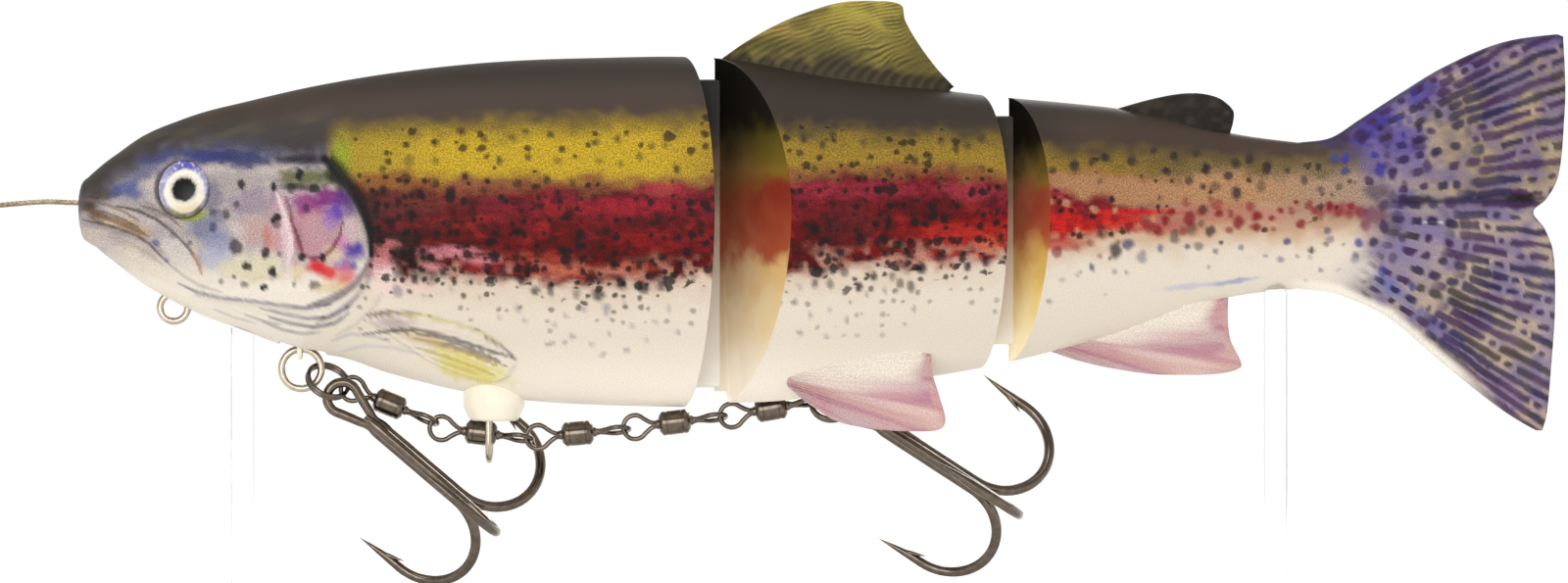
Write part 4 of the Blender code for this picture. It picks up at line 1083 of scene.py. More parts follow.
TRUNK_WASHES = washes(
    (-64.6, 71.6, 1.7, 4, 0x809228, 0.75), (-58, 68.8, 6, 1.5, 0x804E22, 0.7),
    (-46, 67.8, 8, 1.4, 0x844E32, 0.6), (-57, 65.4, 6, 2.6, 0x5C2824, 0.7),
    (-57.4, 60, 4.2, 3.4, 0x281A1C, 0.8), (-61.4, 63.5, 1.8, 4.4, 0x2C2222, 0.85),
    (-59.4, 57.4, 2.2, 1.8, 0xCE7882, 0.8), (-49.8, 59.2, 4.6, 1, 0xC87C86, 0.8),
    (-45.6, 58, 3, 0.7, 0xCE8288, 0.7), (-52.4, 57.2, 2, 0.7, 0xCE8088, 0.7),
    (-45, 57, 4, 1, 0x92222C, 0.7), (-36, 56.4, 7, 1.3, 0x9C4234, 0.65), (-25, 65.4, 9, 1.5, 0x96182A, 0.7),
    (-21.6, 67.6, 4.4, 1.2, 0x9E2238, 0.7), (-52, 66.4, 6, 1.6, 0x682C1E, 0.6),
    (-38, 58.2, 6, 1.2, 0xA43E2C, 0.6), (-58.6, 55, 2.6, 3.4, 0xE4CEC8, 0.75, 20),
    (-58.4, 59.4, 2.4, 1.7, 0xC47474, 0.7), (-56, 54.6, 5, 1.4, 0xDEBEB4, 0.5),
    (60, 64.4, 6, 1.5, 0xB07068, 0.45), (70, 64.9, 4.4, 1.3, 0x8E2C38, 0.75),
    (-34, 56.8, 5, 0.9, 0xBE684E, 0.6), (-26.4, 57, 5, 1, 0xB8583E, 0.55),
    (-22, 60.8, 7, 1.8, 0x88161C, 0.6), (4, 62.6, 6, 2.6, 0x4A1A1E, 0.6), (4, 67.6, 12, 1.5, 0x8A2434, 0.7),
    (20, 67.4, 5, 1.6, 0x9A323E, 0.6), (18, 61.6, 7, 1.8, 0xA0221A, 0.85),
    (22.6, 60.4, 3, 1.2, 0xC85032, 0.6), (30.6, 63.4, 8, 2.4, 0xBA1E18, 0.9),
    (40, 63.2, 5.4, 1.5, 0xBC241C, 0.8), (29.4, 66.8, 4.4, 1.5, 0xA43C3A, 0.75),
    (42.6, 64.6, 7, 0.6, 0xBA1E22, 0.9), (31.6, 60.4, 4.4, 1.2, 0xAA3E32, 0.8),
    (46, 62.6, 6, 1.2, 0x9E4A42, 0.6), (52.6, 64.4, 8, 1.6, 0xA45C52, 0.55),
    (55.6, 55.3, 3.6, 0.45, 0x808EB4, 0.7, 9), (49.6, 54.6, 5, 0.5, 0xB0B0C4, 0.6, 7),
    # tinted rays of the folded breast fin
    (-47.6, 43.7, 6.6, 2.3, 0xD6CA60, 0.8, -18), (-53, 47.4, 5, 1.1, 0xBEA674, 0.6, -18),
    (-57.6, 49.6, 3.6, 1, 0x96848C, 0.6),
)
HEAD_STROKES = strokes(
    # lower corner of the gill cover
    (((-60.6, 58.8), (-61.2, 56.8), (-62.4, 55.2), (-64.2, 53.8), (-66.6, 52.6),
        (-69, 52)), 0.62, 0x605268, 0.8),
    # ring line and plates
    (((-71.5, 63.7), (-70.8, 62), (-70.2, 60.2), (-69.8, 58.8), (-68.4, 58.3), (-67, 58.6), (-65.8, 59.7),
        (-64.9, 61.3), (-64.4, 63.4)), 0.34, 0x6A183C, 0.9),
    # Pale line along the raised rear edge of the cheek plate: a painted highlight.
    (((-73.4, 67.2), (-72.7, 65.6), (-72, 63.4), (-71.5, 61.4), (-71.4, 59.2),
        (-72, 57.4)), 0.4, 0xDCCCCC, 0.75),
    (((-72.2, 66.8), (-71.6, 65.2), (-71.2, 63.4)), 0.3, 0x743250, 0.7),
    # mouth
    (((-99.4, 63.5), (-97.2, 63.1), (-94.6, 62.4), (-92.4, 61.6), (-90.6, 60.4), (-89.2, 59),
        (-87.6, 57.4)), 0.24, 0x5C483C, 0.85),
    (((-94.9, 65.4), (-92.1, 64.8), (-89.5, 63.6), (-87.3, 61.9), (-85.3, 59.9), (-84.1, 58.1),
        (-83.5, 56.4)), 0.26, 0x4A3A32, 0.9),
    (((-91.8, 65.5), (-89.4, 64.8), (-87.6, 63.8), (-86.2, 62.6)), 0.22, 0x68544A, 0.75),
    (((-84.6, 59), (-83.7, 57.4), (-83.4, 56.2)), 0.3, 0xC49276, 0.7),
    (((-99.4, 65.2), (-97.2, 64.3), (-94.8, 63.3), (-92.3, 62.2), (-90.6, 61.3)), 0.42, 0x60462C, 0.8),
    (((-99.2, 66.4), (-98, 66.1), (-96.2, 65.6), (-94, 64.7), (-91.8, 63.4)), 0.28, 0x70563C, 0.75),
    (((-97.6, 64.9), (-95.6, 64.3), (-93.6, 63.4), (-91.8, 62.4)), 0.22, 0x463628, 0.7),
    (((-96, 61.4), (-93, 60.4), (-90.4, 59), (-88.6, 57.4)), 0.26, 0xB2987A, 0.6),
    (((-87.6, 57.4), (-85.7, 55.9), (-83.9, 54.8), (-80.8, 53.8)), 0.26, 0x9C908E, 0.6),
)
THROAT_STROKES = strokes(
    # gill membranes
    (((-86.6, 55), (-83.8, 53.7), (-80.8, 53), (-76.9, 52.6), (-72.4, 52), (-69.3, 51.6),
        (-66, 52.2)), 0.34, 0x68687A, 0.75),
    (((-75.6, 51.6), (-72.4, 50.9), (-69.3, 50.3), (-66.4, 50.4), (-64, 51.6),
        (-62.4, 53.2)), 0.32, 0x686878, 0.72),
    (((-74.4, 50.5), (-71.4, 49.6), (-68.4, 49.1), (-65.6, 49.6), (-63.6, 51)), 0.34, 0x606070, 0.75),
    (((-75.2, 49.8), (-72.4, 48.7), (-69.9, 48.2), (-67.4, 48.4)), 0.26, 0x7E7A82, 0.6),
    (((-77.6, 50.8), (-75, 49.9), (-72.6, 49.4)), 0.24, 0x848088, 0.55),
    (((-82, 51.6), (-79, 50.4), (-76, 49.6)), 0.22, 0xA09A9A, 0.5),
    (((-60.4, 57.4), (-61.2, 55), (-62.8, 53), (-65.2, 51), (-68, 49.6)), 0.42, 0x807688, 0.55),
    (((-59, 54), (-60.4, 51.6), (-62.8, 49.4), (-65.4, 48)), 0.3, 0xAA9CA0, 0.5),
    (((-58, 47.2), (-61, 48), (-63.6, 48.2), (-66, 47.2)), 0.3, 0x9692A0, 0.5),
    (((-54, 45.4), (-58, 46.4), (-61.6, 46.6), (-64.6, 45.8)), 0.3, 0xACA8B2, 0.45),
    # breast fin
    (((-61.2, 50.7), (-58.4, 51.1), (-54, 50.8)), 0.36, 0x684844, 0.75),
    (((-58, 50.9), (-53.6, 50.7), (-50, 49.9), (-45.8, 48.5), (-42.9, 46.8)), 0.28, 0xC4B874, 0.7),
    (((-45.6, 48), (-42.9, 46.4), (-41, 44.6)), 0.28, 0x5C5456, 0.75),
    (((-61.6, 48.2), (-57.8, 48.6), (-54.2, 48.8), (-50.7, 47.9), (-47.9, 47), (-44.4, 45.8),
        (-41.5, 45)), 0.32, 0x3E383E, 0.85),
    (((-56, 48.2), (-52.4, 48), (-48.8, 46.8), (-45.6, 45.6), (-43, 44.4)), 0.22, 0x4A4242, 0.75),
    (((-51, 47), (-47.4, 45.9), (-44.6, 44.8), (-42.6, 43.9)), 0.24, 0x5C5248, 0.75),
    (((-55.7, 47.9), (-51.4, 46.8), (-47.1, 45.4), (-43.6, 43.9)), 0.28, 0x96703A, 0.75),
    (((-54.6, 46.4), (-50.4, 45.1), (-46.4, 43.6), (-44.2, 42.7)), 0.26, 0xA68E42, 0.65),
    (((-52.6, 44.9), (-49.4, 43.8), (-46.4, 42.8)), 0.26, 0xB0A05C, 0.55),
)
GILL_EDGE = (
    (-66.9, 71.8), (-65.2, 70), (-63.9, 68.2), (-62.7, 66.2), (-61.6, 63.8), (-60.9, 61.4), (-60.7, 58.8),
)


@dataclass
class Coat:
    """Paint on a skin: a place and a colour at each vertex, covered layer by layer."""

    x: Array
    z: Array
    rgb: Array

    @classmethod
    def of(cls, x: Array, z: Array, colour: Colour) -> "Coat":
        """Even first coat."""
        return cls(x, z, np.tile(linear(colour), (len(x), 1)))

    def lay(self, colour: Colour | Array, share: Array) -> None:
        """Cover the coat with a colour by a share at each vertex."""
        top = linear(colour) if isinstance(colour, int) else colour
        self.rgb = self.rgb * (1 - share[:, None]) + top * share[:, None]

    def wash(self, patch: Wash) -> None:
        """Lay one soft patch, its edge broken by noise."""
        turn = math.radians(patch.turn_deg)
        dx, dz = self.x - patch.x, self.z - patch.z
        u = (dx * math.cos(turn) + dz * math.sin(turn)) / patch.reach_x
        v = (dz * math.cos(turn) - dx * math.sin(turn)) / patch.reach_z
        out = np.hypot(u, v) + 0.45 * (value_noise(self.x * 1.3, self.z * 1.7, patch.x) - 0.5)
        self.lay(patch.colour, patch.strength * (1 - smooth(out, 0.35, 1.15)))

    def stroke(self, line: Stroke) -> None:
        """Draw one line, thin at its ends and uneven along its length."""
        gap, share = Track(line.points).gap(self.x, self.z)
        width = line.width * (0.45 + 0.55 * smooth(share, 0, 0.2) * smooth(1 - share, 0, 0.2))
        patchy = 0.7 + 0.3 * value_noise(self.x * 1.3, self.z * 1.3, line.width * 50)
        self.lay(line.colour, line.strength * patchy * (1 - smooth(gap, 0.5 * width, 1.2 * width)))

    def blotches(self, group: Blotches) -> None:
        """Ink one group of spots, each a little out of round."""
        share = np.zeros(len(self.x))
        for sx, sz, *own in group.places:
            radius = own[0] if own else group.radius
            near = (np.abs(self.x - sx) < 2.4 * radius) & (np.abs(self.z - sz) < 2.4 * radius)
            px, pz = self.x[near], self.z[near]
            wobble = 0.55 * (value_noise(px * 1.5, pz * 1.5, sx + sz) - 0.5)
            lean = 0.75 + 0.3 * math.sin(sx * 5.3 + sz)
            out = np.hypot((px - sx) * (1.45 - 0.5 * lean), (pz - sz) * (0.65 + 0.4 * lean)) / radius + wobble
            depth = 0.8 + 0.2 * math.sin(sx * 9.1 + sz * 3.7)
            share[near] = np.maximum(share[near], depth * (1 - smooth(out, *group.edge)))
        self.lay(group.ink, group.strength * share)


class TroutPrint:
    """Rainbow trout print of the three sections, painted vertex by vertex.

    The print is laid on square from each side, as a decal is, so a mark on a bulging flank spreads a little.
    """

    AIM = (-5.1, 53.9)
    THROW = 1250
    GOLD_TOP = Profile((
        (-65.7, 76.9), (-51.2, 77), (-31.4, 77.5), (-15.6, 77.9), (-1.1, 76.5), (14.7, 76), (23.9, 75.6),
        (34.5, 73.4), (47.7, 72.9), (60.8, 72), (74, 71.8),
    ))
    RED_TOP = Profile((
        (-65.7, 68.4), (-51.2, 68.2), (-31.4, 67.9), (-15.6, 68), (-1.1, 69.2), (14.7, 69.4), (23.9, 69),
        (34.5, 66.6), (47.7, 65.8), (60.8, 65.6), (74, 65.8),
    ))
    RED_LOW = Profile((
        (-65.7, 56.4), (-51.2, 55.6), (-31.4, 54.6), (-15.6, 55.2), (-1.1, 56.2), (14.7, 57.2), (23.9, 58.4),
        (34.5, 61), (47.7, 61.8), (60.8, 62.4), (74, 63),
    ))
    BACK_HEAD = Profile((
        (-100, 66), (-97.4, 67.2), (-94.1, 69.6), (-91.1, 71.4), (-88, 72.6), (-84, 73.2), (-79, 73.5),
        (-73.6, 73.4), (-68.4, 72.8), (-64, 72),
    ))
    BACK = 0x42362E
    # Deeper back tone of the middle section; also laid as painted shade over the top of the back and of the
    # head.
    BACK_DEEP_AND_TOP_SHADE = 0x2C251E
    GOLD = 0xB09224
    GOLD_DULL = 0x6A502A
    TAN = 0x7E522C
    BELLY = 0xD9CEBE
    BELLY_LOW = 0xF0E5D6
    MAGENTA = 0x701822
    CRIMSON = 0x5E0A09
    SCARLET = 0x961812

    def __init__(self) -> None:
        """Keep the lines that every call reads."""
        self.gill = Track((
            (-65.4, 90), (-65.8, 78), (-66.2, 72), *GILL_EDGE[1:], (-61, 57.2), (-62, 55), (-63.4, 53.3),
            (-65.4, 51.8), (-68, 50.4), (-70.5, 46), (-71, 30), (-120, 30), (-120, 90),
        ))

    @classmethod
    def seen(cls, x: Array, y: Array, z: Array) -> tuple[Array, Array]:
        """Place on the print of each point of the body."""
        spread = cls.THROW / (cls.THROW - np.abs(y))
        return cls.AIM[0] + (x - cls.AIM[0]) * spread, cls.AIM[1] + (z - cls.AIM[1]) * spread

    def trunk(self, x: Array, z: Array) -> tuple[Coat, Array, Array]:
        """Bands of the trunk and tail.

        Args:
            x: Stations.
            z: Heights.

        Returns:
            Colour, marks and streaks.
        """
        fine = value_noise(x / 0.9, z / 0.7, 31) - 0.5
        ragged = 1.3 * (value_noise(x / 1.6, z / 1.1, 3) - 0.5) + 1.1 * (value_noise(x / 4, z / 2.6, 7) - 0.5)
        level = z + ragged + 0.7 * fine
        gold_top, red_top, red_low = self.GOLD_TOP.at(x), self.RED_TOP.at(x), self.RED_LOW.at(x)
        tail = smooth(x, 25, 34)
        fade = smooth(x, 38, 52)
        far = smooth(x, 56, 72)

        base = Coat.of(x, z, self.BELLY)
        base.lay(self.BELLY_LOW, 1 - smooth(z, 39, 49))
        halo = smooth(level, red_low - 5, red_low + 0.5)
        base.lay(0xC4AA92, 0.55 * halo)
        base.lay(0xBA9470, 0.8 * tail * smooth(level, red_low - 3.4, red_low + 1))

        share = np.clip((level - red_low) / (red_top - red_low), 0, 1)
        red = Coat.of(x, z, self.CRIMSON)
        red.lay(self.MAGENTA, smooth(share, 0.5, 0.85))
        red.lay(self.SCARLET, 0.8 * smooth(x, 0, 20) * (1 - smooth(share, 0.3, 0.6)))
        red.lay(0x3E1A16, 0.6 * (1 - smooth(x, -58, -40)))
        lit = value_noise(x / 2.2, z / 1.1, 5)
        red.lay(0x962224, 0.5 * smooth(lit, 0.55, 0.9))
        mottle = 0.6 * value_noise(x / 1.1, z / 1.5, 19) + 0.4 * value_noise(x / 0.5, z / 0.5, 29)
        red.lay(0x300C0E, 0.6 * smooth(mottle, 0.5, 0.72) * (1 - tail))
        deep = value_noise(x / 4, z / 2.6, 35)
        red.lay(0x3C0A0C, 0.5 * smooth(deep, 0.5, 0.8) * (1 - tail))
        gaps = smooth(value_noise(x / 1.2, z / 0.9, 13), 0.42, 0.72) * (1 - smooth(share, 0.08, 0.36))
        red.lay(0xBA5C42, 0.5 * gaps)
        strength = smooth(level, red_low - 0.8, red_low + 1.2) * (1 - 0.8 * fade) * (1 - 0.3 * gaps)
        base.lay(red.rgb, strength)

        tan = smooth(level, red_top - 1.2, red_top + 0.6)
        base.lay(self.TAN, tan * (1 - 0.5 * tail))
        dulled = np.clip(0.6 * smooth(x, -24, -10) + 0.3 * tail, 0, 0.9)
        gold = Coat.of(x, z, self.GOLD)
        gold.lay(self.GOLD_DULL, dulled)
        gold.lay(0x86742C, 0.6 * (1 - smooth(x, -63, -50)))
        gold.lay(0x92762C, 0.75 * smooth(x, 20, 30) * (1 - fade))
        gold.lay(0x786242, fade)
        above = smooth(level, red_top + 0.2 + 2.4 * tail, red_top + 2.2 + 2.4 * tail)
        base.lay(0xA67C58, 0.8 * tail * tan * (1 - above))
        base.lay(gold.rgb, above)
        base.lay(0x968070, 0.8 * far * smooth(z, red_low - 2, red_low + 3))
        base.lay(0x5C4C24, 0.7 * smooth(level, gold_top - 4, gold_top - 0.8))
        dark = smooth(level, gold_top - 1.9, gold_top + 1.2)
        base.lay(self.BACK, dark)
        middle = smooth(x, -20, -10) * (1 - smooth(x, 28, 36))
        base.lay(self.BACK_DEEP_AND_TOP_SHADE, 0.7 * dark * middle)
        # Darker towards the top of the back: painted shade against the strong overhead light.
        base.lay(self.BACK_DEEP_AND_TOP_SHADE, 0.75 * smooth(z, gold_top + 2, gold_top + 6.5))

        in_red = strength * (1 - tan)
        in_gold = above * (1 - dark)
        under = smooth(level, red_low - 10, red_low - 5) * (1 - smooth(level, red_low - 1.5, red_low + 1))
        edge = bump(level - red_low, 0.4, 3)
        crowd = 0.3 * (1 - smooth(x, -60, -40)) + 0.9 * smooth(value_noise(x / 5, z / 4, 43), 0.5, 0.8)
        big = 0.34 * in_red * (0.6 + crowd) + 0.34 * edge + (0.1 + 0.24 * middle) * in_gold
        big = big * (1 - 0.5 * tail)
        big = np.clip(big, 0, 0.9) * (1 - dark)
        small = (0.14 + 0.1 * middle) * in_gold + 0.46 * under + 0.5 * in_red + 0.45 * tan * (1 - above)
        small *= 1 - 0.6 * tail
        small = np.clip(small, 0, 0.9) * (1 - dark)
        ink = 0.92 - 0.5 * (1 - smooth(level, red_low - 5, red_low - 0.5))
        ink -= 0.16 * (1 - smooth(level, red_low - 9, red_low - 6))
        ink = np.clip(ink - 0.1 * in_gold - 0.2 * far, 0.1, 1)
        grain = 0.14 + 0.85 * in_gold + 0.55 * in_red + 0.7 * tan * (1 - above)
        marks = np.stack([grain * (1 - 0.8 * dark), big, small, ink], axis=1)
        for patch in TRUNK_WASHES:
            base.wash(patch)
        for group in TRUNK_BLOTCHES:
            base.blotches(group)
        return base, marks, 0.3 * in_red + 0.08 * in_gold

    def head(self, x: Array, z: Array) -> tuple[Coat, Array]:
        """Face and gill cover.

        Args:
            x: Stations.
            z: Heights.

        Returns:
            Colour and marks.
        """
        base = Coat.of(x, z, 0xE0D6C8)
        upper = smooth(z, 54, 62)
        base.lay(0xB2A6A0, upper)
        cloud = value_noise(x / 1.1, z / 1.1, 27)
        base.lay(0x8C8696, 0.45 * upper * smooth(cloud, 0.45, 0.85))
        line = self.BACK_HEAD.at(x)
        ragged = z + 1.2 * (value_noise(x / 1.5, z / 1.5, 11) - 0.5)
        ragged = ragged + 0.6 * (value_noise(x * 1.4, z * 1.4, 12) - 0.5)
        base.lay(0x4E4E60, 0.85 * smooth(ragged, line - 3.6, line - 0.4))
        for patch in HEAD_WASHES:
            base.wash(patch)
        crown = smooth(ragged, line - 1.6, line + 2.2)
        base.lay(0x3C3632, crown)
        sheen = value_noise(x / 5 + z / 3, z / 1.1 - x / 3, 33)
        base.lay(0x544E3E, 0.4 * crown * smooth(sheen, 0.5, 0.85))
        behind = smooth(x, -80, -68)
        # Darker towards the top of the head, ahead of the gill cover: painted shade against the overhead
        # light.
        base.lay(self.BACK_DEEP_AND_TOP_SHADE, 0.7 * smooth(z, line + 2, line + 6) * (1 - behind))
        for line_drawn in HEAD_STROKES:
            base.stroke(line_drawn)
        for group in HEAD_BLOTCHES:
            base.blotches(group)
        grain = 0.14 + 0.5 * upper * (1 - crown)
        zero = np.zeros(len(x))
        return base, np.stack([grain, zero, zero, zero], axis=1)

    def paint(self, points: Array) -> Paint:
        """Print at each vertex of a section's skin.

        Args:
            points: Vertices in millimetres.

        Returns:
            Colour and marks.
        """
        x, z = self.seen(*points.T)
        coat, marks, streaks = self.trunk(x, z)
        if x.min() < -70:
            face, face_marks = self.head(x, z)
            soft = 0.25 + 0.9 * smooth(z, 70.5, 73)
            share = smooth(self.gill.depth(x, z), -soft, soft) * (1 - smooth(z, 76, 80))
            streaks = streaks * (1 - share)
            coat.lay(face.rgb, share)
            marks = marks * (1 - share[:, None]) + face_marks * share[:, None]
            for line in THROAT_STROKES:
                coat.stroke(line)
            gap, along = Track(GILL_EDGE).gap(x, z)
            reach = np.where(share > 0.5, 0.6, 1.25) * (0.5 + 0.8 * bump(along, 0.25, 0.8))
            coat.lay(0x161416, 0.95 * (1 - smooth(gap, 0.3 * reach, 1.3 * reach)))
            fin = smooth(Track(PECTORAL_FIN.outline).depth(x, z), -0.6, 0.2)
            marks[:, 1:3] *= (1 - fin)[:, None]
        if x.max() > 70:
            marks = CaudalPrint().paint(coat, marks)
        return Paint(coat.rgb, marks, streaks)


class CaudalPrint:
    """Print of the tail fin: spots that stretch into rays, which fan out from a point ahead of its root."""

    FAN = (60, 65.6)
    SPREAD = 0.85
    RAY_PITCH = 0.0854
    WASHES = washes(
        (74, 76.2, 4.6, 2, 0x423680, 0.9, 40), (68.6, 74.2, 3, 1.2, 0x3C324E, 0.85),
        (78.4, 74.4, 3.4, 2.6, 0x54468A, 0.75), (80.6, 80.6, 3.4, 1.4, 0x4C4088, 0.8, 40),
        (74.6, 71, 3, 2.2, 0x62527C, 0.6), (79.4, 70.6, 3.4, 2, 0x70628E, 0.6),
        (74.4, 64.2, 2.2, 1.7, 0x68364A, 0.7), (78, 58.6, 3.6, 3.4, 0x7A7096, 0.55),
        (76.6, 54.4, 3.4, 1.4, 0x686CA0, 0.7, -40), (90, 66.4, 7, 1.4, 0x3C324A, 0.6),
        (74.8, 67.2, 2.4, 1.6, 0x4A3C48, 0.7), (80, 66.2, 3.4, 0.9, 0x28202E, 0.9),
        (76.8, 62.4, 1.4, 2.2, 0x4E4254, 0.7), (94.2, 66.4, 3.4, 1.3, 0x161218, 0.97),
        (87.2, 66.1, 6.4, 0.55, 0x2C2442, 0.8), (80.6, 60.2, 4.4, 4, 0x807498, 0.5),
        (84.6, 69.4, 3.6, 1.6, 0x685C8A, 0.5), (83, 48.6, 8, 1.7, 0x58548E, 0.7, -38),
        (90.6, 41.6, 6, 2, 0x8E728A, 0.6, -40), (87.6, 42.2, 1.7, 0.6, 0x8C1E2C, 0.9, -40),
        (71.6, 56.6, 4.2, 2, 0xCEC4BC, 0.7), (98.4, 80, 1.4, 8, 0x80707E, 0.7),
        # The next line's second patch, the thin pale line at (82.2, 63.2), is a painted highlight.
        (97.4, 50, 1.4, 9, 0x968896, 0.6), (82.2, 63.2, 2.2, 0.2, 0xE2DCDE, 0.8),
        (75.4, 76.6, 1.7, 0.8, 0x3A347C, 0.85, 30),
    )
    PATCHES = (
        Blotches(0x321E46, ((75.9, 74.5, 1.4), (72.6, 74.8, 1.05), (80.2, 73.7, 1.1), (81.9, 75.5, 0.65),
            (80.4, 75.9, 0.6), (81.4, 70.7, 0.8), (76.7, 69.9, 0.85), (80.6, 78.8, 0.6), (78.3, 71.7, 0.7),
            (73.6, 68.8, 0.7), (75.6, 65.4, 0.8), (77.4, 64, 0.8), (78.4, 68.4, 0.6), (74.2, 60.6, 0.7),
            (76.8, 58.4, 0.7), (78.2, 66.2, 0.9), (76.9, 66.6, 0.8), (75.6, 62.6, 0.8), (78, 61.2, 0.6),
            (81, 68, 0.6), (82.4, 72.4, 0.6), (76, 72.4, 0.5), (70.4, 74.4, 0.7),
            (74.4, 76.6, 0.7)), 0.6, 0.9, (0.6, 1.25)),
        Blotches(0x343284, ((77.6, 76.9, 0.75), (79, 77, 0.6), (79.6, 80.7, 0.65), (75.1, 70.4, 0.85),
            (70.4, 71.9, 0.7), (74.4, 72.2, 0.6), (78.2, 74.9, 0.5), (75.4, 56.6, 0.7), (79.4, 54.6, 0.6),
            (72.2, 60.4, 0.6)), 0.6, 0.85, (0.6, 1.2)),
    )

    @classmethod
    def ray(cls, x: Array, z: Array) -> Array:
        """Number of the ray at a point, counted up and down from the middle one.

        Args:
            x: Stations.
            z: Heights.

        Returns:
            Ray numbers, whole on a ray's line.
        """
        return (z - cls.FAN[1]) / np.maximum(x - cls.FAN[0], 4) ** cls.SPREAD / cls.RAY_PITCH

    def paint(self, coat: Coat, marks: Array) -> Array:
        """Lay the fin's print over the tail's.

        Args:
            coat: Paint so far.
            marks: Marks so far.

        Returns:
            The new marks.
        """
        x, z = coat.x, coat.z
        run = np.maximum(x - self.FAN[0], 4)
        rise = z - self.FAN[1]
        reach = np.hypot(run, rise)
        on_fin = smooth(reach, 11, 17) * smooth(x, 67, 74)
        upper, lower = smooth(rise, -1, 3), 1 - smooth(rise, -3, 1)
        low_edge, high_edge = FIN_LOWER.gap(x, z)[0], FIN_UPPER.gap(x, z)[0]
        base = Coat.of(x, z, 0x8E8086)
        base.lay(0xA49288, 0.8 * lower * smooth(reach, 18, 27))
        base.lay(0x8C7A62, 0.8 * upper * smooth(reach, 18, 26))
        base.lay(0x5E4E8E, 0.85 * upper * (1 - smooth(reach, 17, 27)) * smooth(rise, 3, 8))
        base.lay(0x685886, 0.8 * (1 - smooth(high_edge, 0.8, 4.5)))
        cloud = 0.6 * value_noise(x / 3.4, z / 2.6, 23) + 0.4 * value_noise(x / 1.3, z / 1.1, 37)
        base.lay(0x60548A, 0.6 * smooth(cloud, 0.42, 0.72))
        base.lay(0xBCA88A, 0.4 * smooth(1 - cloud, 0.5, 0.75) * smooth(reach, 18, 26))
        coat.lay(base.rgb, on_fin)
        for patch in self.WASHES:
            coat.wash(patch)

        ray = self.ray(x, z) + 0.3 * (value_noise(x / 2.4, z / 2.4, 17) - 0.5)
        index = np.floor(ray + 0.5)
        pitch = self.RAY_PITCH * run**self.SPREAD / np.hypot(1, self.SPREAD * rise / run)
        breadth = np.abs(ray - index) * pitch
        wander = hashed(index, index * 0, 4)
        rim = smooth(reach, 23 + 5 * wander, 30 + 7 * wander)
        dash = reach / 2.5 + 7 * wander + 0.5 * value_noise(x / 2, z / 2, 47)
        cell = np.floor(dash)
        along = np.abs(dash - cell - 0.5) * 2.5
        alive = hashed(index, cell, 9)
        slack = 0.2 * alive + rim * (0.2 + 1.3 * (alive > 0.28))
        fuzz = 0.16 * (value_noise(x / 0.5, z / 0.5, 53) - 0.5)
        out = np.hypot(breadth, np.maximum(along - slack, 0)) + fuzz
        size = 0.58 + 0.2 * alive - 0.22 * rim
        kept = np.maximum(1 - np.abs(index) % 2, smooth(reach, 22 + 5 * wander, 26 + 5 * wander))
        kept = kept * (alive > 0.12 * (1 - rim))
        streak = kept * (1 - smooth(out, 0.6 * size, 1.35 * size))
        inked = smooth(reach, 14, 19) * (0.78 + 0.22 * value_noise(x / 3, z / 3, 21))
        tone = hashed(index, np.floor(dash / 4), 3)
        ink = Coat.of(x, z, 0x201A3E)
        ink.lay(0x3A1E46, (tone > 0.6).astype(float))
        ink.lay(0x2C2628, (tone < 0.2).astype(float))
        coat.lay(ink.rgb, 0.95 * streak * inked * smooth(x, 69.5, 74))
        for group in self.PATCHES:
            coat.blotches(group)

        pale = (1 - smooth(low_edge, 0.5, 1.7)) * smooth(x, 60, 68) * (1 - smooth(x, 84, 92))
        coat.lay(0xEEE6D8, 0.9 * pale)
        # Dark line along the fin's upper edge: a painted shadow.
        upper_edge_shade = (1 - smooth(high_edge, 0.2, 1)) * smooth(x, 60, 72)
        coat.lay(0x302842, 0.65 * upper_edge_shade)
        marks = marks.copy()
        marks[:, 1:3] *= (1 - on_fin)[:, None]
        marks[:, 0] = marks[:, 0] * (1 - on_fin) + 0.3 * on_fin
        return marks


FIN_UPPER = Track((
    (64.1, 73.85), (68.4, 74.5), (72.2, 76.9), (77.9, 80.6), (83.5, 84), (91.2, 87.3), (98.7, 88.5),
    (99.7, 88.2),
))
FIN_LOWER = Track((
    (64.1, 54.45), (69.2, 53.7), (76, 50.6), (83.5, 44.3), (91.2, 38.2), (95.9, 35.3), (96.9, 35.2),
))
FIN_REAR = Track((
    (99.7, 88.2), (100, 82), (99.9, 77.9), (99.1, 69.6), (97.5, 66.4), (95.7, 64.6), (97.2, 62.4), (98.4, 59),
    (98.6, 51.4), (98.1, 43.9), (97.5, 37.4), (96.9, 35.2),
))


# ---- Body sections ----

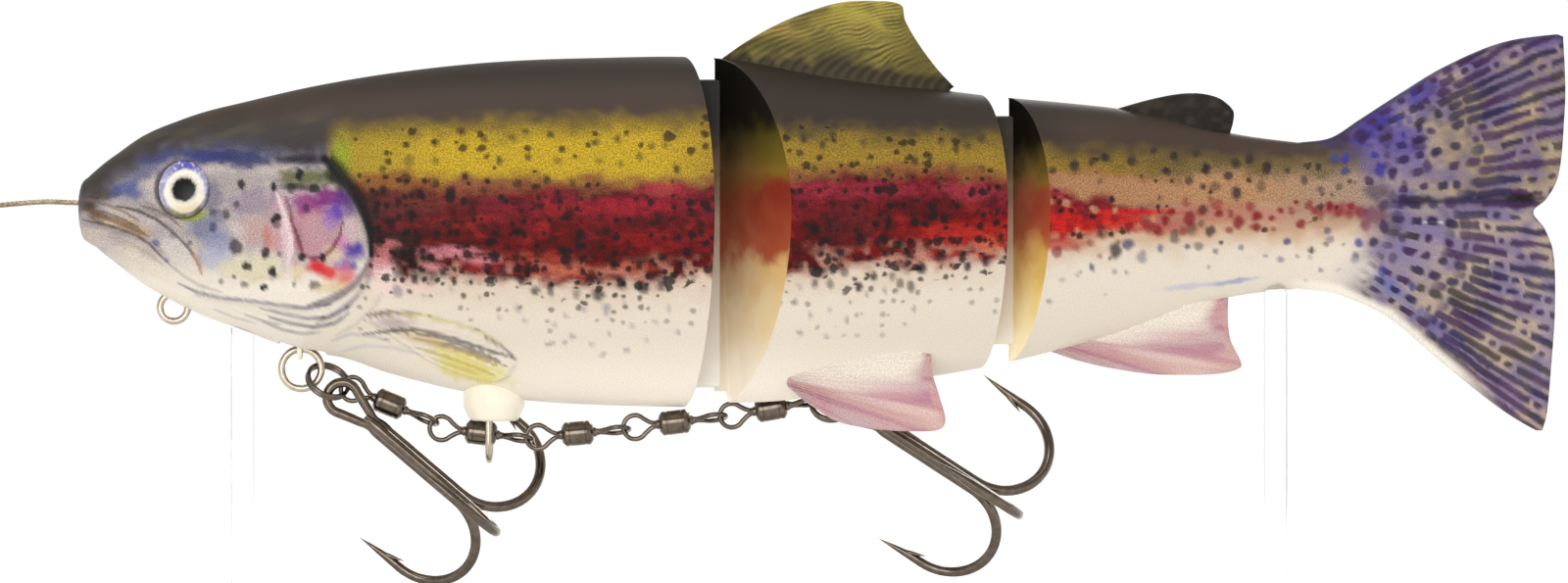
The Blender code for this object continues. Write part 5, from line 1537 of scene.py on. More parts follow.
@dataclass(frozen=True)
class JointCut:
    """Joint face across a section: an upright ridge or groove on the middle plane, and its slope in plan."""

    x: float
    slope: float
    keep_behind: bool
    rim: float = 0.3

    def apply(self, mesh: BMesh, finish: int) -> None:
        """Cut the left half of a section and close it.

        Args:
            mesh: Left half of the skin, in millimetres.
            finish: Material index of the joint face.
        """
        towards = -1.0 if self.keep_behind else 1.0
        normal = Vector((1.0, self.slope, 0.0)).normalized() * towards
        cut = bmesh.ops.bisect_plane(
            mesh, geom=[*mesh.verts, *mesh.edges, *mesh.faces], dist=1e-5, plane_co=Vector((self.x, 0, 0)),
            plane_no=normal, clear_outer=True,
        )["geom_cut"]
        chain = [item for item in cut if isinstance(item, BMEdge)]
        ends = [v for e in chain for v in e.verts if abs(v.co.y) < WELD]
        top, bottom = max(ends, key=lambda v: v.co.z), min(ends, key=lambda v: v.co.z)
        ridge = bmesh.ops.contextual_create(mesh, geom=[top, bottom])["edges"]
        face = bmesh.ops.contextual_create(mesh, geom=[*chain, *ridge])["faces"][0]
        face.material_index = finish

    def edge(self, mesh: BMesh, finish: int) -> None:
        """Raise a soft lip round both halves of the mirrored face.

        Args:
            mesh: Whole section, in millimetres.
            finish: Material index of the joint face.
        """
        faces = [face for face in mesh.faces if face.material_index == finish]
        bmesh.ops.inset_region(
            mesh, faces=faces, thickness=self.rim, depth=-0.12, use_even_offset=True, use_boundary=True
        )


@dataclass
class SkinSection:
    """One printed section: a fine grid over the left flank, relieved, cut at its joints and mirrored."""

    name: str
    body: str
    start: float
    end: float
    pitches: tuple[Pair, ...]
    columns: int
    cuts: tuple[JointCut, ...]
    replaces: tuple[str, ...]
    faces: tuple[str, ...]
    with_fin: bool = False
    fin_rows: int = 128
    fin_half: Profile = field(default_factory=lambda: Profile((
        (60, 3.6), (64.1, 3.3), (68, 2.7), (74, 1.9), (82, 1.2), (92, 0.7), (102, 0.5),
    )))
    ray_height: float = 0.13

    def stations(self) -> Array:
        """Stations from nose to tail, with the pitch of each stretch."""
        rows = [self.start]
        for limit, pitch in self.pitches:
            count = max(1, round((limit - rows[-1]) / pitch))
            rows += list(np.linspace(rows[-1], limit, count + 1)[1:])
        if self.start <= FORM.nose_x:
            turn = np.linspace(0, math.pi / 2, 8)[:-1]
            rows = [FORM.nose_x + FORM.nose_round * (1 - math.cos(a)) for a in turn] + [
                x for x in rows if x >= FORM.nose_x + FORM.nose_round
            ]
        return np.array(rows)

    def surface(self) -> tuple[Array, Array]:
        """Grid of points over the left flank and their places on the print.

        Returns:
            Arrays of points and of places, each rows by columns by three.
        """
        rows = self.stations()
        angle = math.pi / 2 - math.pi * np.arange(self.columns + 1) / self.columns
        x = np.repeat(rows[:, None], self.columns + 1, axis=1)
        y, z, normal_y, normal_z = FORM.ring(x, np.repeat(angle[None, :], len(rows), axis=0))
        lift = RELIEF.height(*TroutPrint.seen(x, y, z))
        points = np.stack([x, y + lift * normal_y, z + lift * normal_z], axis=-1)
        if self.with_fin:
            points = np.concatenate([points, self.fin_surface(points[-1])], axis=0)
        RELIEF.pockets(points)
        points[:, 0, 1] = points[:, -1, 1] = 0
        steps = np.linalg.norm(np.diff(points, axis=1), axis=2)
        around = np.concatenate([np.zeros((len(points), 1)), np.cumsum(steps, axis=1)], axis=1)
        around -= around[:, self.columns // 2][:, None]
        places = np.stack([points[..., 0], around, np.zeros(around.shape)], axis=-1)
        return points, places

    def fin_surface(self, root: Array) -> Array:
        """Grid of the tail fin's left side, from the stalk's last ring to the forked rear edge.

        Args:
            root: Points of the stalk's last ring.

        Returns:
            Points, rows by columns by three.
        """
        sigma = (np.arange(1, self.fin_rows + 1) / self.fin_rows)[:, None]
        sigma = sigma**0.92
        ring_share = (root[0, 2] - root[:, 2]) / (root[0, 2] - root[-1, 2])
        even = np.arange(self.columns + 1) / self.columns
        ease = smooth(sigma, 0, 0.45)
        share = ring_share[None, :] * (1 - ease) + even[None, :] * ease
        rear_x, rear_z = FIN_REAR.at(share)
        upper_x, upper_z = FIN_UPPER.at(sigma)
        lower_x, lower_z = FIN_LOWER.at(sigma)
        stalk_x = np.full(share.shape, root[0, 0])
        stalk_z = root[0, 2] + (root[-1, 2] - root[0, 2]) * share

        def fill(stalk: Array, rear: Array, upper: Array, lower: Array) -> Array:
            """Blend four edges of the patch."""
            corners = (
                (1 - sigma) * ((1 - share) * upper_start[0] + share * lower_start[0])
                + sigma * ((1 - share) * upper_end[0] + share * lower_end[0])
            )
            return (1 - sigma) * stalk + sigma * rear + (1 - share) * upper + share * lower - corners

        both = []
        for stalk, rear, upper, lower, pick in (
            (stalk_x, rear_x, upper_x, lower_x, 0), (stalk_z, rear_z, upper_z, lower_z, 1),
        ):
            upper_start, upper_end = [FIN_UPPER.points[0, pick]], [FIN_UPPER.points[-1, pick]]
            lower_start, lower_end = [FIN_LOWER.points[0, pick]], [FIN_LOWER.points[-1, pick]]
            both.append(fill(stalk, rear, upper, lower))
        x, z = both
        power = 1.9 + 5 * smooth(sigma, 0, 0.6)
        round_share = np.clip(1 - np.abs(2 * share - 1) ** power, 0, 1) ** (1 / power)
        half = self.fin_half.at(x) * round_share
        half = half * np.sqrt(np.clip(1 - (np.clip(sigma - 0.97, 0, 1) / 0.03) ** 2, 0, 1))
        rays = np.cos(math.tau * CaudalPrint.ray(x, z)) * smooth(sigma, 0.2, 0.6) * round_share
        return np.stack([x, -(half + self.ray_height * rays * (half > 0.3)), z], axis=-1)

    def build(self) -> None:
        """Make the piece."""
        points, places = self.surface()
        rows, columns = points.shape[0] - 1, points.shape[1] - 1
        mesh = bmesh.new()
        bmesh.ops.create_grid(mesh, x_segments=rows, y_segments=columns, size=1.0)
        layer = mesh.verts.layers.float_vector.new("print_place")
        for vertex in mesh.verts:
            i = round((vertex.co.x + 1) / 2 * rows)
            j = round((vertex.co.y + 1) / 2 * columns)
            vertex.co = Vector(points[i, j])
            vertex[layer] = Vector(places[i, j])
        bmesh.ops.remove_doubles(mesh, verts=mesh.verts, dist=WELD)
        for number, cut in enumerate(self.cuts, start=1):
            cut.apply(mesh, number)
        mirrored(mesh)
        for number, cut in enumerate(self.cuts, start=1):
            cut.edge(mesh, number)
        finished(
            self.name, mesh, ("skin", *self.faces), self.body, self.replaces,
            smooth_deg=50, paint=TroutPrint().paint,
        )


# ---- Fins ----

@dataclass
class RayedFin:
    """Thin fin between a root line and an outer line, with raised rays running from one to the other."""

    name: str
    body: str
    root: Pairs
    outer: Pairs
    root_half: float
    tip_half: float
    phase: Callable[[Array, Array], Array]
    paint: Callable[[Array, Array, Array, Array], Paint]
    bow: Pair = (0.0, 0.0)
    flare: float = 0.0
    aside: float = 0.0
    ray_height: float = 0.10
    along: int = 96
    across: int = 48
    placing: Matrix = field(default_factory=lambda: Matrix.Identity(4))

    def build(self) -> None:
        """Make the piece."""
        mesh = bmesh.new()
        bmesh.ops.create_grid(mesh, x_segments=self.along, y_segments=self.across, size=1.0)
        grid = np.array([vertex.co for vertex in mesh.verts])
        s, t = (grid[:, 0] + 1) / 2, (grid[:, 1] + 1) / 2
        root_x, root_z = Track(self.root).at(s)
        outer_x, outer_z = Track(self.outer).at(s)
        arch = 4 * t * (1 - t)
        x = root_x + (outer_x - root_x) * t + self.bow[0] * arch
        z = root_z + (outer_z - root_z) * t + self.bow[1] * arch
        edge = np.minimum(np.minimum(s, 1 - s) * self.along / 3, np.minimum(t, 1 - t) * self.across / 3)
        closing = np.sqrt(np.clip(1 - (1 - np.clip(edge, 0, 1)) ** 2, 0, 1))
        half = self.root_half + (self.tip_half - self.root_half) * smooth(t, 0, 0.9)
        room = np.array([FORM.flank(a, b) for a, b in zip(root_x, root_z, strict=True)])
        flare = np.clip(room - abs(self.aside) - self.root_half - 0.6, 0, self.flare)
        half = half + flare * np.clip(1 - t / 0.5, 0, 1) ** 2
        rays = self.ray_height * np.cos(math.tau * self.phase(x, z)) * smooth(t, 0.02, 0.2)
        half = (half + rays) * closing
        layer = mesh.verts.layers.float_vector.new("fin_share")
        for vertex, *values in zip(mesh.verts, x, -half, z, s, t, strict=True):
            vertex.co = Vector(values[:3])
            vertex[layer] = Vector((values[3], values[4], 0))
        mirrored(mesh)
        moved(mesh, self.placing)
        mesh.verts.index_update()
        shares = np.array([vertex[layer] for vertex in mesh.verts])

        def rule(points: Array) -> Paint:
            """Paint by the fin's own shares."""
            return self.paint(points[:, 0], points[:, 2], shares[:, 0], shares[:, 1])

        finished(self.name, mesh, ("fin",), self.body, paint=rule)


def fin_marks(count: int, grain: float) -> Array:
    """Marks of a fin: grain and no spots."""
    marks = np.zeros((count, 4))
    marks[:, 0] = grain
    return marks


def dorsal_ray(x: Array, z: Array) -> Array:
    """Ray number on the back fin, whose rays rise and then sweep back."""
    height = np.maximum(z - 84.4 + 0.115 * (x + 13), 0)
    return (x - 0.5 * height**1.6) / 1.5


def anal_ray(x: Array, z: Array) -> Array:
    """Ray number on the anal fin."""
    return np.arctan2(z - 50, x - 22) / 0.04


def pelvic_ray(x: Array, z: Array) -> Array:
    """Ray number on a belly fin."""
    return np.arctan2(z - 43, x + 9) / 0.045


def paint_dorsal(x: Array, z: Array, s: Array, t: Array) -> Paint:
    """Olive-gold fin, dark at its base, with fine dark rays."""
    height = z - 84.4 + 0.115 * (x + 13)
    cloud = value_noise(x / 3.2, z / 2, 21)
    coat = Coat.of(x, z, 0x86783A)
    coat.lay(0x9E844A, 0.7 * (1 - smooth(x, -6, 1)) * smooth(height, 3.5, 5.5))
    coat.lay(0xAC9E46, 0.85 * smooth(height + 3 * (cloud - 0.5), 5.6, 8.2) * smooth(x, -3, 4))
    coat.lay(0x544E2A, 0.85 * bump(height, 3.2, 2.6) * (1 - smooth(x, 2, 10)))
    coat.lay(0x685C2A, 0.75 * smooth(x, 7, 13))
    coat.lay(0x5C5430, 0.6 * smooth(cloud, 0.45, 0.8))
    lines = np.cos(math.tau * (dorsal_ray(x, z) + 1.7 * value_noise(x / 2.6, z / 1.7, 2)) + 2.6)
    patchy = 0.15 + 0.95 * smooth(value_noise(x / 1.9, z / 1.2, 12), 0.2, 0.75)
    patchy = patchy * (0.5 + 0.5 * smooth(x, -2, 8))
    coat.lay(0x463C20, 0.75 * patchy * smooth(lines, 0.1, 0.9) * smooth(height, 1.2, 3))
    coat.lay(0xBEB068, 0.35 * patchy * smooth(-lines, 0.5, 1) * smooth(height, 3, 6))
    ragged = height + 1.7 * (value_noise(x / 1.5, z / 3, 5) - 0.5) - 0.9 * bump(x, 6, 9)
    coat.lay(0x393122, 1 - smooth(ragged, 1, 2.8))
    return Paint(coat.rgb, fin_marks(len(x), 0.25))


def paint_adipose(x: Array, z: Array, s: Array, t: Array) -> Paint:
    """Dark olive-grey fin."""
    coat = Coat.of(x, z, 0x241F19)
    coat.lay(0x3A342A, 0.6 * smooth(value_noise(x / 1.6, z, 3), 0.5, 0.8))
    return Paint(coat.rgb, fin_marks(len(x), 0.15))


def paint_pink(ray: Callable[[Array, Array], Array]) -> Callable[..., Paint]:
    """Rule of a pink and lilac fin that fades into the belly, with magenta streaks along its rays.

    Args:
        ray: Ray numbers of the fin.

    Returns:
        The rule.
    """

    def paint(x: Array, z: Array, s: Array, t: Array) -> Paint:
        """Print of the fin at each vertex."""
        number = ray(x, z)
        coat = Coat.of(x, z, 0xC6A098)
        coat.lay(0xBAA6AE, 0.6 * smooth(value_noise(number / 2, t * 3, 9), 0.45, 0.85))
        coat.lay(0xC48C94, 0.5 * smooth(value_noise(x / 2.8, z / 2, 4), 0.45, 0.85))
        streak = value_noise(number * 1.2, t * 4.4, 6)
        coat.lay(0xA86C84, 0.6 * smooth(streak, 0.58, 0.85) * smooth(t, 0.4, 0.7))
        fine = np.cos(math.tau * number + 2.4 * value_noise(x / 1.5, z / 1.5, 8))
        coat.lay(0xBE989E, 0.4 * smooth(fine, 0.2, 0.9) * smooth(t, 0.3, 0.6))
        coat.lay(0xE4D0C8, 0.4 * smooth(value_noise(number * 0.8, t * 2.6, 14), 0.6, 0.9))
        coat.lay(0xE4D8CA, 1 - smooth(t + 0.16 * (streak - 0.5), 0.28, 0.6))
        return Paint(coat.rgb, fin_marks(len(x), 0.35))

    return paint


# ---- Eyes ----

@dataclass
class DomedEye:
    """Resin eye: a pearl iris, a black pupil and a blue upper rim under a clear dome."""

    side: int
    x: float = -85.2
    z: float = 67.7
    radii: Pair = (3.72, 4.05)
    dome: float = 1.4
    sink: float = 0.7
    tilt_deg: float = 14.0
    iris: Point = (0.3, -0.6, 3.0)
    pupil: Point = (0.34, -0.5, 1.68)

    def rule(self, placing: Matrix) -> PaintRule:
        """Rule that paints the dome from its own disc coordinates.

        Args:
            placing: Matrix that carried the dome to the head.

        Returns:
            The rule.
        """
        back = np.array(placing.inverted())

        def paint(points: Array) -> Paint:
            """Print of the eye at each vertex."""
            local = points @ back[:3, :3].T + back[:3, 3]
            u, v = local[:, 0], local[:, 2]
            noise = value_noise(u * 5, v * 5, 1) - 0.5
            iris_out = np.hypot(u - self.iris[0], v - self.iris[1]) + 0.16 * noise
            pupil_out = np.hypot(u - self.pupil[0], v - self.pupil[1]) + 0.22 * noise
            angle = np.arctan2(v - self.iris[1], u - self.iris[0])
            speckle = value_noise(u * 3.4, v * 3.4, 4)
            outer = self.iris[2] + 0.3 * (value_noise(angle * 2.2, iris_out * 0.4, 6) - 0.5)
            coat = Coat.of(u, v, 0x9892B0)
            coat.lay(0x383296, 0.95 * smooth(v + 0.5 * noise, 1.4, 2.3) * bump(u, 0.7, 3.6))
            coat.lay(0xBAB8D6, 0.55 * smooth(speckle, 0.6, 0.8))
            coat.lay(0x86803A, 0.9 * (1 - smooth(v + 0.4 * noise, -3.3, -2.3)))
            coat.lay(0xE8E1D0, 1 - smooth(iris_out, outer - 0.35, outer + 0.05))
            coat.lay(0xCECACE, 0.5 * smooth(speckle, 0.5, 0.8) * smooth(iris_out, 1.6, 2.4))
            coat.lay(0x968A80, 0.5 * (1 - smooth(pupil_out, 1.6, 2.3)))
            coat.lay(0xCEB076, 0.6 * bump(angle, -1.4, 1.2) * bump(iris_out, 2.5, 0.7))
            coat.lay(0x0A0A0C, 1 - smooth(pupil_out, 1.5, 1.78))
            edge = np.hypot(u / self.radii[0], v / self.radii[1])
            side = 0.45 + 0.5 * smooth(v - 0.8 * u, -1.6, 1.8)
            coat.lay(0x181422, side * smooth(edge, 0.88, 0.95))
            return Paint(coat.rgb, fin_marks(len(u), 0.12))

        return paint

    def build(self) -> None:
        """Make the piece."""
        name = "eye_left" if self.side < 0 else "eye_right"
        mesh = bmesh.new()
        bmesh.ops.create_uvsphere(mesh, u_segments=72, v_segments=40, radius=1.0)
        turn = turned(90, "X")
        moved(mesh, Matrix.Diagonal((self.radii[0], self.dome, self.radii[1], 1)) @ turn)
        tilt = turned(self.side * self.tilt_deg, "X")
        tilt = tilt @ turned(self.side * self.tilt_deg, "Z")
        flank = FORM.flank(self.x, self.z)
        placing = placed((self.x, self.side * (flank - self.sink), self.z), tilt)
        moved(mesh, placing)
        finished(name, mesh, ("eye",), "front", paint=self.rule(placing))


# ---- Hinge webs, post and rings ----

@dataclass
class HingeWeb:
    """Upright strip that joins two sections; here it is fixed in place and does not bend with them."""

    name: str
    bodies: tuple[str, str]
    x_range: Pair
    z_range: Pair
    half_thickness: float = 0.85
    tuck: float = 0.9

    def build(self) -> None:
        """Make the piece."""
        mesh = bmesh.new()
        bmesh.ops.create_cube(mesh, size=1.0)
        length = self.x_range[1] - self.x_range[0] + 2 * self.tuck
        size = (length, 2 * self.half_thickness, self.z_range[1] - self.z_range[0])
        middle = (sum(self.x_range) / 2, 0.0, sum(self.z_range) / 2)
        moved(mesh, Matrix.Translation(middle) @ Matrix.Diagonal((*size, 1.0)))
        along = [e for e in mesh.edges if abs((e.verts[0].co - e.verts[1].co).x) > 1.0]
        bmesh.ops.bevel(mesh, geom=along, offset=0.5, segments=3, profile=0.5, affect="EDGES", material=-1)
        along = [e for e in mesh.edges if abs((e.verts[0].co - e.verts[1].co).x) > 1.0]
        bmesh.ops.subdivide_edges(mesh, edges=along, cuts=7, use_grid_fill=True)
        finished(
            self.name, mesh, ("web",), self.bodies[0],
            smooth_deg=40, bend=(self.bodies[1], *self.x_range),
        )


@dataclass
class WireRing:
    """Round wire ring or split ring, turned to where it hangs."""

    name: str
    body: str
    finish: str
    slot: str
    centre: Point
    radius: float
    wire: float
    turn: Matrix = field(default_factory=lambda: Matrix.Identity(4))
    coils: float = 1.0
    lift: float = 0.0

    def build(self) -> None:
        """Make the piece."""
        mesh = bmesh.new()
        if self.coils == 1.0:
            sweep(mesh, arc_points(self.radius, 0.0, 360.0, 72), self.wire, 14, closed=True)
        else:
            count = int(72 * self.coils)
            path = []
            for i in range(count + 1):
                turn = math.tau * self.coils * i / count
                offset = self.lift * math.tanh(6.0 * (i / count - 0.5))
                path.append(Vector((self.radius * math.cos(turn), offset, self.radius * math.sin(turn))))
            sweep(mesh, path, self.wire, 12)
        moved(mesh, placed(self.centre, self.turn))
        outward(mesh)
        finished(self.name, mesh, (self.finish,), self.body)


@dataclass
class HangingLoop:
    """U of wire that hangs from the belly in the YZ plane."""

    name: str
    finish: str
    slot: str
    x: float
    arc_z: float
    radius: float
    wire: float
    top_z: float

    def build(self) -> None:
        """Make the piece."""
        arc = [
            Vector((self.x, self.radius * math.cos(a), self.arc_z + self.radius * math.sin(a)))
            for a in (math.pi + math.pi * i / 28 for i in range(29))
        ]
        legs = [self.top_z + (self.arc_z - self.top_z) * k / 6 for k in range(6)]
        left = [Vector((self.x, -self.radius, z)) for z in legs]
        right = [Vector((self.x, self.radius, z)) for z in reversed(legs)]
        mesh = bmesh.new()
        sweep(mesh, [*left, *arc, *right], self.wire, 14)
        outward(mesh)
        finished(self.name, mesh, (self.finish,), "front")


@dataclass
class BellyPost:
    """Stepped milky post under the belly."""

    x: float = -44.1
    outline: Pairs = (
        (44, 0), (44, 3.7), (43.4, 4.05), (39, 4.12), (38.4, 4.08), (38, 3.95), (37.65, 3.75), (37.3, 3.6),
        (36.95, 3.45), (36.65, 3.2), (36.5, 2.9), (36.5, 0),
    )

    def build(self) -> None:
        """Make the piece."""
        mesh = bmesh.new()
        lathe(mesh, self.outline, 56)
        moved(mesh, placed((self.x, 0.0, 0.0), turned(-90, "Y")))
        finished("belly_post", mesh, ("post",), "front", smooth_deg=35)


@dataclass
class Swivel:
    """Barrel swivel: two wire eyes on necks, and the barrel that turns round them."""

    number: int
    centre: Point
    droop_deg: float
    body: str
    barrel_radius: float = 1.62
    barrel_half: float = 2.12
    eye_reach: float = 5.35
    eye_radius: float = 1.6
    wire: float = 0.33

    def placing(self) -> Matrix:
        """Matrix of the swivel's own axis."""
        return placed(self.centre, turned(self.droop_deg, "Y"))

    def eye_path(self) -> list[Vector]:
        """Teardrop of the left eye: both ends start inside the barrel."""
        arc = arc_points(self.eye_radius, 40.0, 280.0, 30)
        centre = Vector((-self.eye_reach, 0, 0))
        loop = [centre + point for point in arc]
        upper = flat((-1.6, 0.2), (-2.4, 0.2), (-2.9, 0.26), (-3.4, 0.5))
        lower = flat(*((p.x, -p.z) for p in reversed(upper)))
        return [*upper, *loop, *lower]

    def build(self) -> None:
        """Make the eyes and the barrel."""
        mesh = bmesh.new()
        sweep(mesh, self.eye_path(), self.wire, 10)
        right = [turned(75, "X") @ Vector((-p.x, 0, p.z)) for p in self.eye_path()]
        sweep(mesh, right, self.wire, 10)
        for sign in (-1, 1):
            collar = [(2.0, 0.0), (2.0, 0.62), (2.35, 0.66), (2.6, 0.5), (3.0, 0.42), (3.1, 0.0)]
            lathe(mesh, [(sign * x, r) for x, r in collar], 16)
        outward(mesh)
        moved(mesh, self.placing())
        name = f"swivel_{self.number}_wire"
        finished(name, mesh, ("nickel",), self.body)

        mesh = bmesh.new()
        half, radius = self.barrel_half, self.barrel_radius
        outline = [
            (-half, 0), (-half, 0.95), (-half + 0.05, 1.1), (-half + 0.42, radius - 0.06),
            (-half + 0.55, radius), (-half + 0.95, radius), (-half + 1, radius - 0.05),
            (-half + 1.1, radius - 0.05), (-half + 1.15, radius),
        ]
        outline += [(-x, r) for x, r in reversed(outline)]
        lathe(mesh, outline, 40)
        moved(mesh, self.placing())
        name = f"swivel_{self.number}_barrel"
        finished(name, mesh, ("nickel",), f"barrel_{self.number}", smooth_deg=32)


@dataclass
class TrebleHook:
    """Black treble hook: three barbed wires side by side along the shank, two of them from the eye."""

    name: str
    body: str
    eye: Point
    droop_deg: float
    spins: tuple[float, ...] = (90.0, -30.0, 210.0)
    wire: float = 0.74
    lay_radius: float = 0.66
    eye_radius: float = 2.1
    eye_wire: float = 0.66
    neck: float = 5.0
    bend_start: float = 20.4
    bend_radius: float = 7.0
    tip: float = 13.6
    flare: float = 0.55
    barb_at: float = 18.6

    def hook_path(self) -> tuple[list[Vector], list[float]]:
        """Path and radii of one wire that opens towards +Z, from the neck to the point."""
        start, radius, lay = self.bend_start, self.bend_radius, self.lay_radius
        path = flat((self.neck - 0.9, 0.2), (self.neck, 0.42), (self.neck + 1.4, lay))
        path += flat(*((x, lay) for x in (8, 11, 14, 17, start - 0.6)))
        sizes = [self.wire * 0.8, self.wire * 0.95, *[self.wire] * 6]
        steps = 30
        for i in range(steps + 1):
            angle = math.pi * i / steps
            path += flat((start + radius * math.sin(angle), lay + radius - radius * math.cos(angle)))
            sizes.append(self.wire * (1.0 - 0.08 * i / steps))
        top = lay + 2 * radius
        reach = start - self.tip
        for k in range(1, 13):
            share = k / 12
            path += flat((start - reach * share, top + self.flare * share**1.5))
            sizes.append(self.wire * max(0.92 * (1 - share**1.5), 0.03))
        return path, sizes

    def barb_path(self) -> tuple[list[Vector], list[float]]:
        """Path and radii of the barb cut up from the wire below the point."""
        top = self.lay_radius + 2 * self.bend_radius
        root, tip = flat((self.barb_at - 0.6, top - 0.1), (self.barb_at + 1.9, top - 1.25))
        path = [root.lerp(tip, k / 5) for k in range(6)]
        return path, [self.wire * s for s in (0.5, 0.46, 0.38, 0.28, 0.16, 0.03)]

    def build(self) -> None:
        """Make the piece."""
        mesh = bmesh.new()
        loop = arc_points(self.eye_radius, 72.8, 214.4, 34)
        upper = flat((self.neck + 1.2, 0.55), (self.neck - 0.2, 0.62), (3.9, 0.93), (2.9, 1.24), (1.8, 1.6))
        lower = flat(*((p.x, -p.z) for p in reversed(upper)))
        sizes = [0.5, 0.58, 0.62, 0.64, 0.66, *[self.eye_wire] * len(loop), 0.66, 0.64, 0.62, 0.58, 0.5]
        sweep(mesh, [*upper, *loop, *lower], sizes, 12)
        for spin in self.spins:
            turn = turned(spin, "X")
            for path, sizes in (self.hook_path(), self.barb_path()):
                sweep(mesh, [turn @ point for point in path], sizes, 12)
        outward(mesh)
        moved(mesh, placed(self.eye, turned(self.droop_deg, "Y")))
        finished(self.name, mesh, ("nickel",), self.body)


# ---- Leader ----

class FarEnd(Enum):
    """What is on the leader's far end."""

    FITTING = "fitting"


@dataclass
class Leader:
    """Stranded wire leader with a crimp and an end loop."""

    route: tuple[Point, ...] = (
        (-98.3, 0, 65.75), (-101, 0, 65.85), (-104.6, 0, 65.95), (-110.5, 0, 65.5), (-120, 0, 64.6),
        (-131, 0, 63.5),
    )
    radius: float = 0.35
    crimp_length: float = 5.0
    crimp_radius: float = 0.95
    loop_length: float = 8.0
    loop_half: float = 1.9
    far_end: FarEnd = FarEnd.FITTING

    def path(self, count: int) -> list[Vector]:
        """Points of the leader from the mouth outwards."""
        heights = Profile([(-x, z) for x, _, z in self.route])
        xs = np.linspace(-self.route[0][0], -self.route[-1][0], count)
        return [Vector((-x, 0.0, z)) for x, z in zip(xs, heights.at(xs), strict=True)]

    def end_frame(self) -> Matrix:
        """Matrix at the far end, with X running on along the leader."""
        last, before = Vector(self.route[-1]), Vector(self.route[-2])
        return Matrix.Translation(last) @ (last - before).to_track_quat("X", "Z").to_matrix().to_4x4()

    def build(self) -> None:
        points = self.path(260)
        mesh = bmesh.new()
        sweep(mesh, points, self.radius, 24, lobes=(6, 0.16, 0.22))
        outward(mesh)
        wire = finished("leader_wire", mesh, ("cable",), "front", smooth_deg=None)
        wire.data.shade_smooth()

        mesh = bmesh.new()
        length, radius = self.crimp_length, self.crimp_radius
        outline = [(0.3, 0.0), (0.3, radius - 0.2), (0.5, radius)]
        for centre in (1.7, 3.7):
            for offset, dent in ((-0.6, 0), (-0.35, 0.22), (0.35, 0.22), (0.6, 0)):
                outline.append((centre + offset, radius - dent))
        outline += [(length + 0.1, radius), (length + 0.3, radius - 0.2), (length + 0.3, 0.0)]
        lathe(mesh, outline, 32)
        moved(mesh, self.end_frame())
        crimp = finished("leader_crimp", mesh, ("bright",), "front", smooth_deg=35)

        mesh = bmesh.new()
        half, reach = self.loop_half, self.loop_length
        arc = [Vector((reach - half, 0, 0)) + point for point in arc_points(half, -110.0, 220.0, 34)]
        lobes = (6, 0.16, 0.25)
        tail = [Vector((0, 0, -0.3)).lerp(arc[0], k / 12) for k in range(12)]
        head = [arc[-1].lerp(Vector((0, 0, 0.3)), k / 12) for k in range(1, 13)]
        sweep(mesh, [*tail, *arc, *head], self.radius * 0.95, 18, lobes=lobes)
        outward(mesh)
        offset = Matrix.Translation((self.crimp_length + 0.6 + self.radius - 0.6, 0, 0))
        moved(mesh, self.end_frame() @ offset)
        loop = finished("leader_loop", mesh, ("cable",), "front")

        length = sum((b - a).length for a, b in zip(points, points[1:], strict=False)) * MM
        LOG.info("leader: %.1f mm", length / MM)


# ---- Stand and studio ----

@dataclass
class Stand:
    """Finishes of the stand, whose CAD shapes are kept."""

    finishes: tuple[tuple[str, str], ...] = (
        ("stand_base", "base"), ("stand_rod_front", "acrylic"), ("stand_rod_rear", "acrylic"),
    )

    def dress(self, nodes: dict[str, Object]) -> None:
        """Give each CAD node its material."""
        for node, key in self.finishes:
            data = nodes[node].data
            data.materials.clear()
            data.materials.append(PALETTE.get(key))
            LOG.info("%s: %s", node, key)


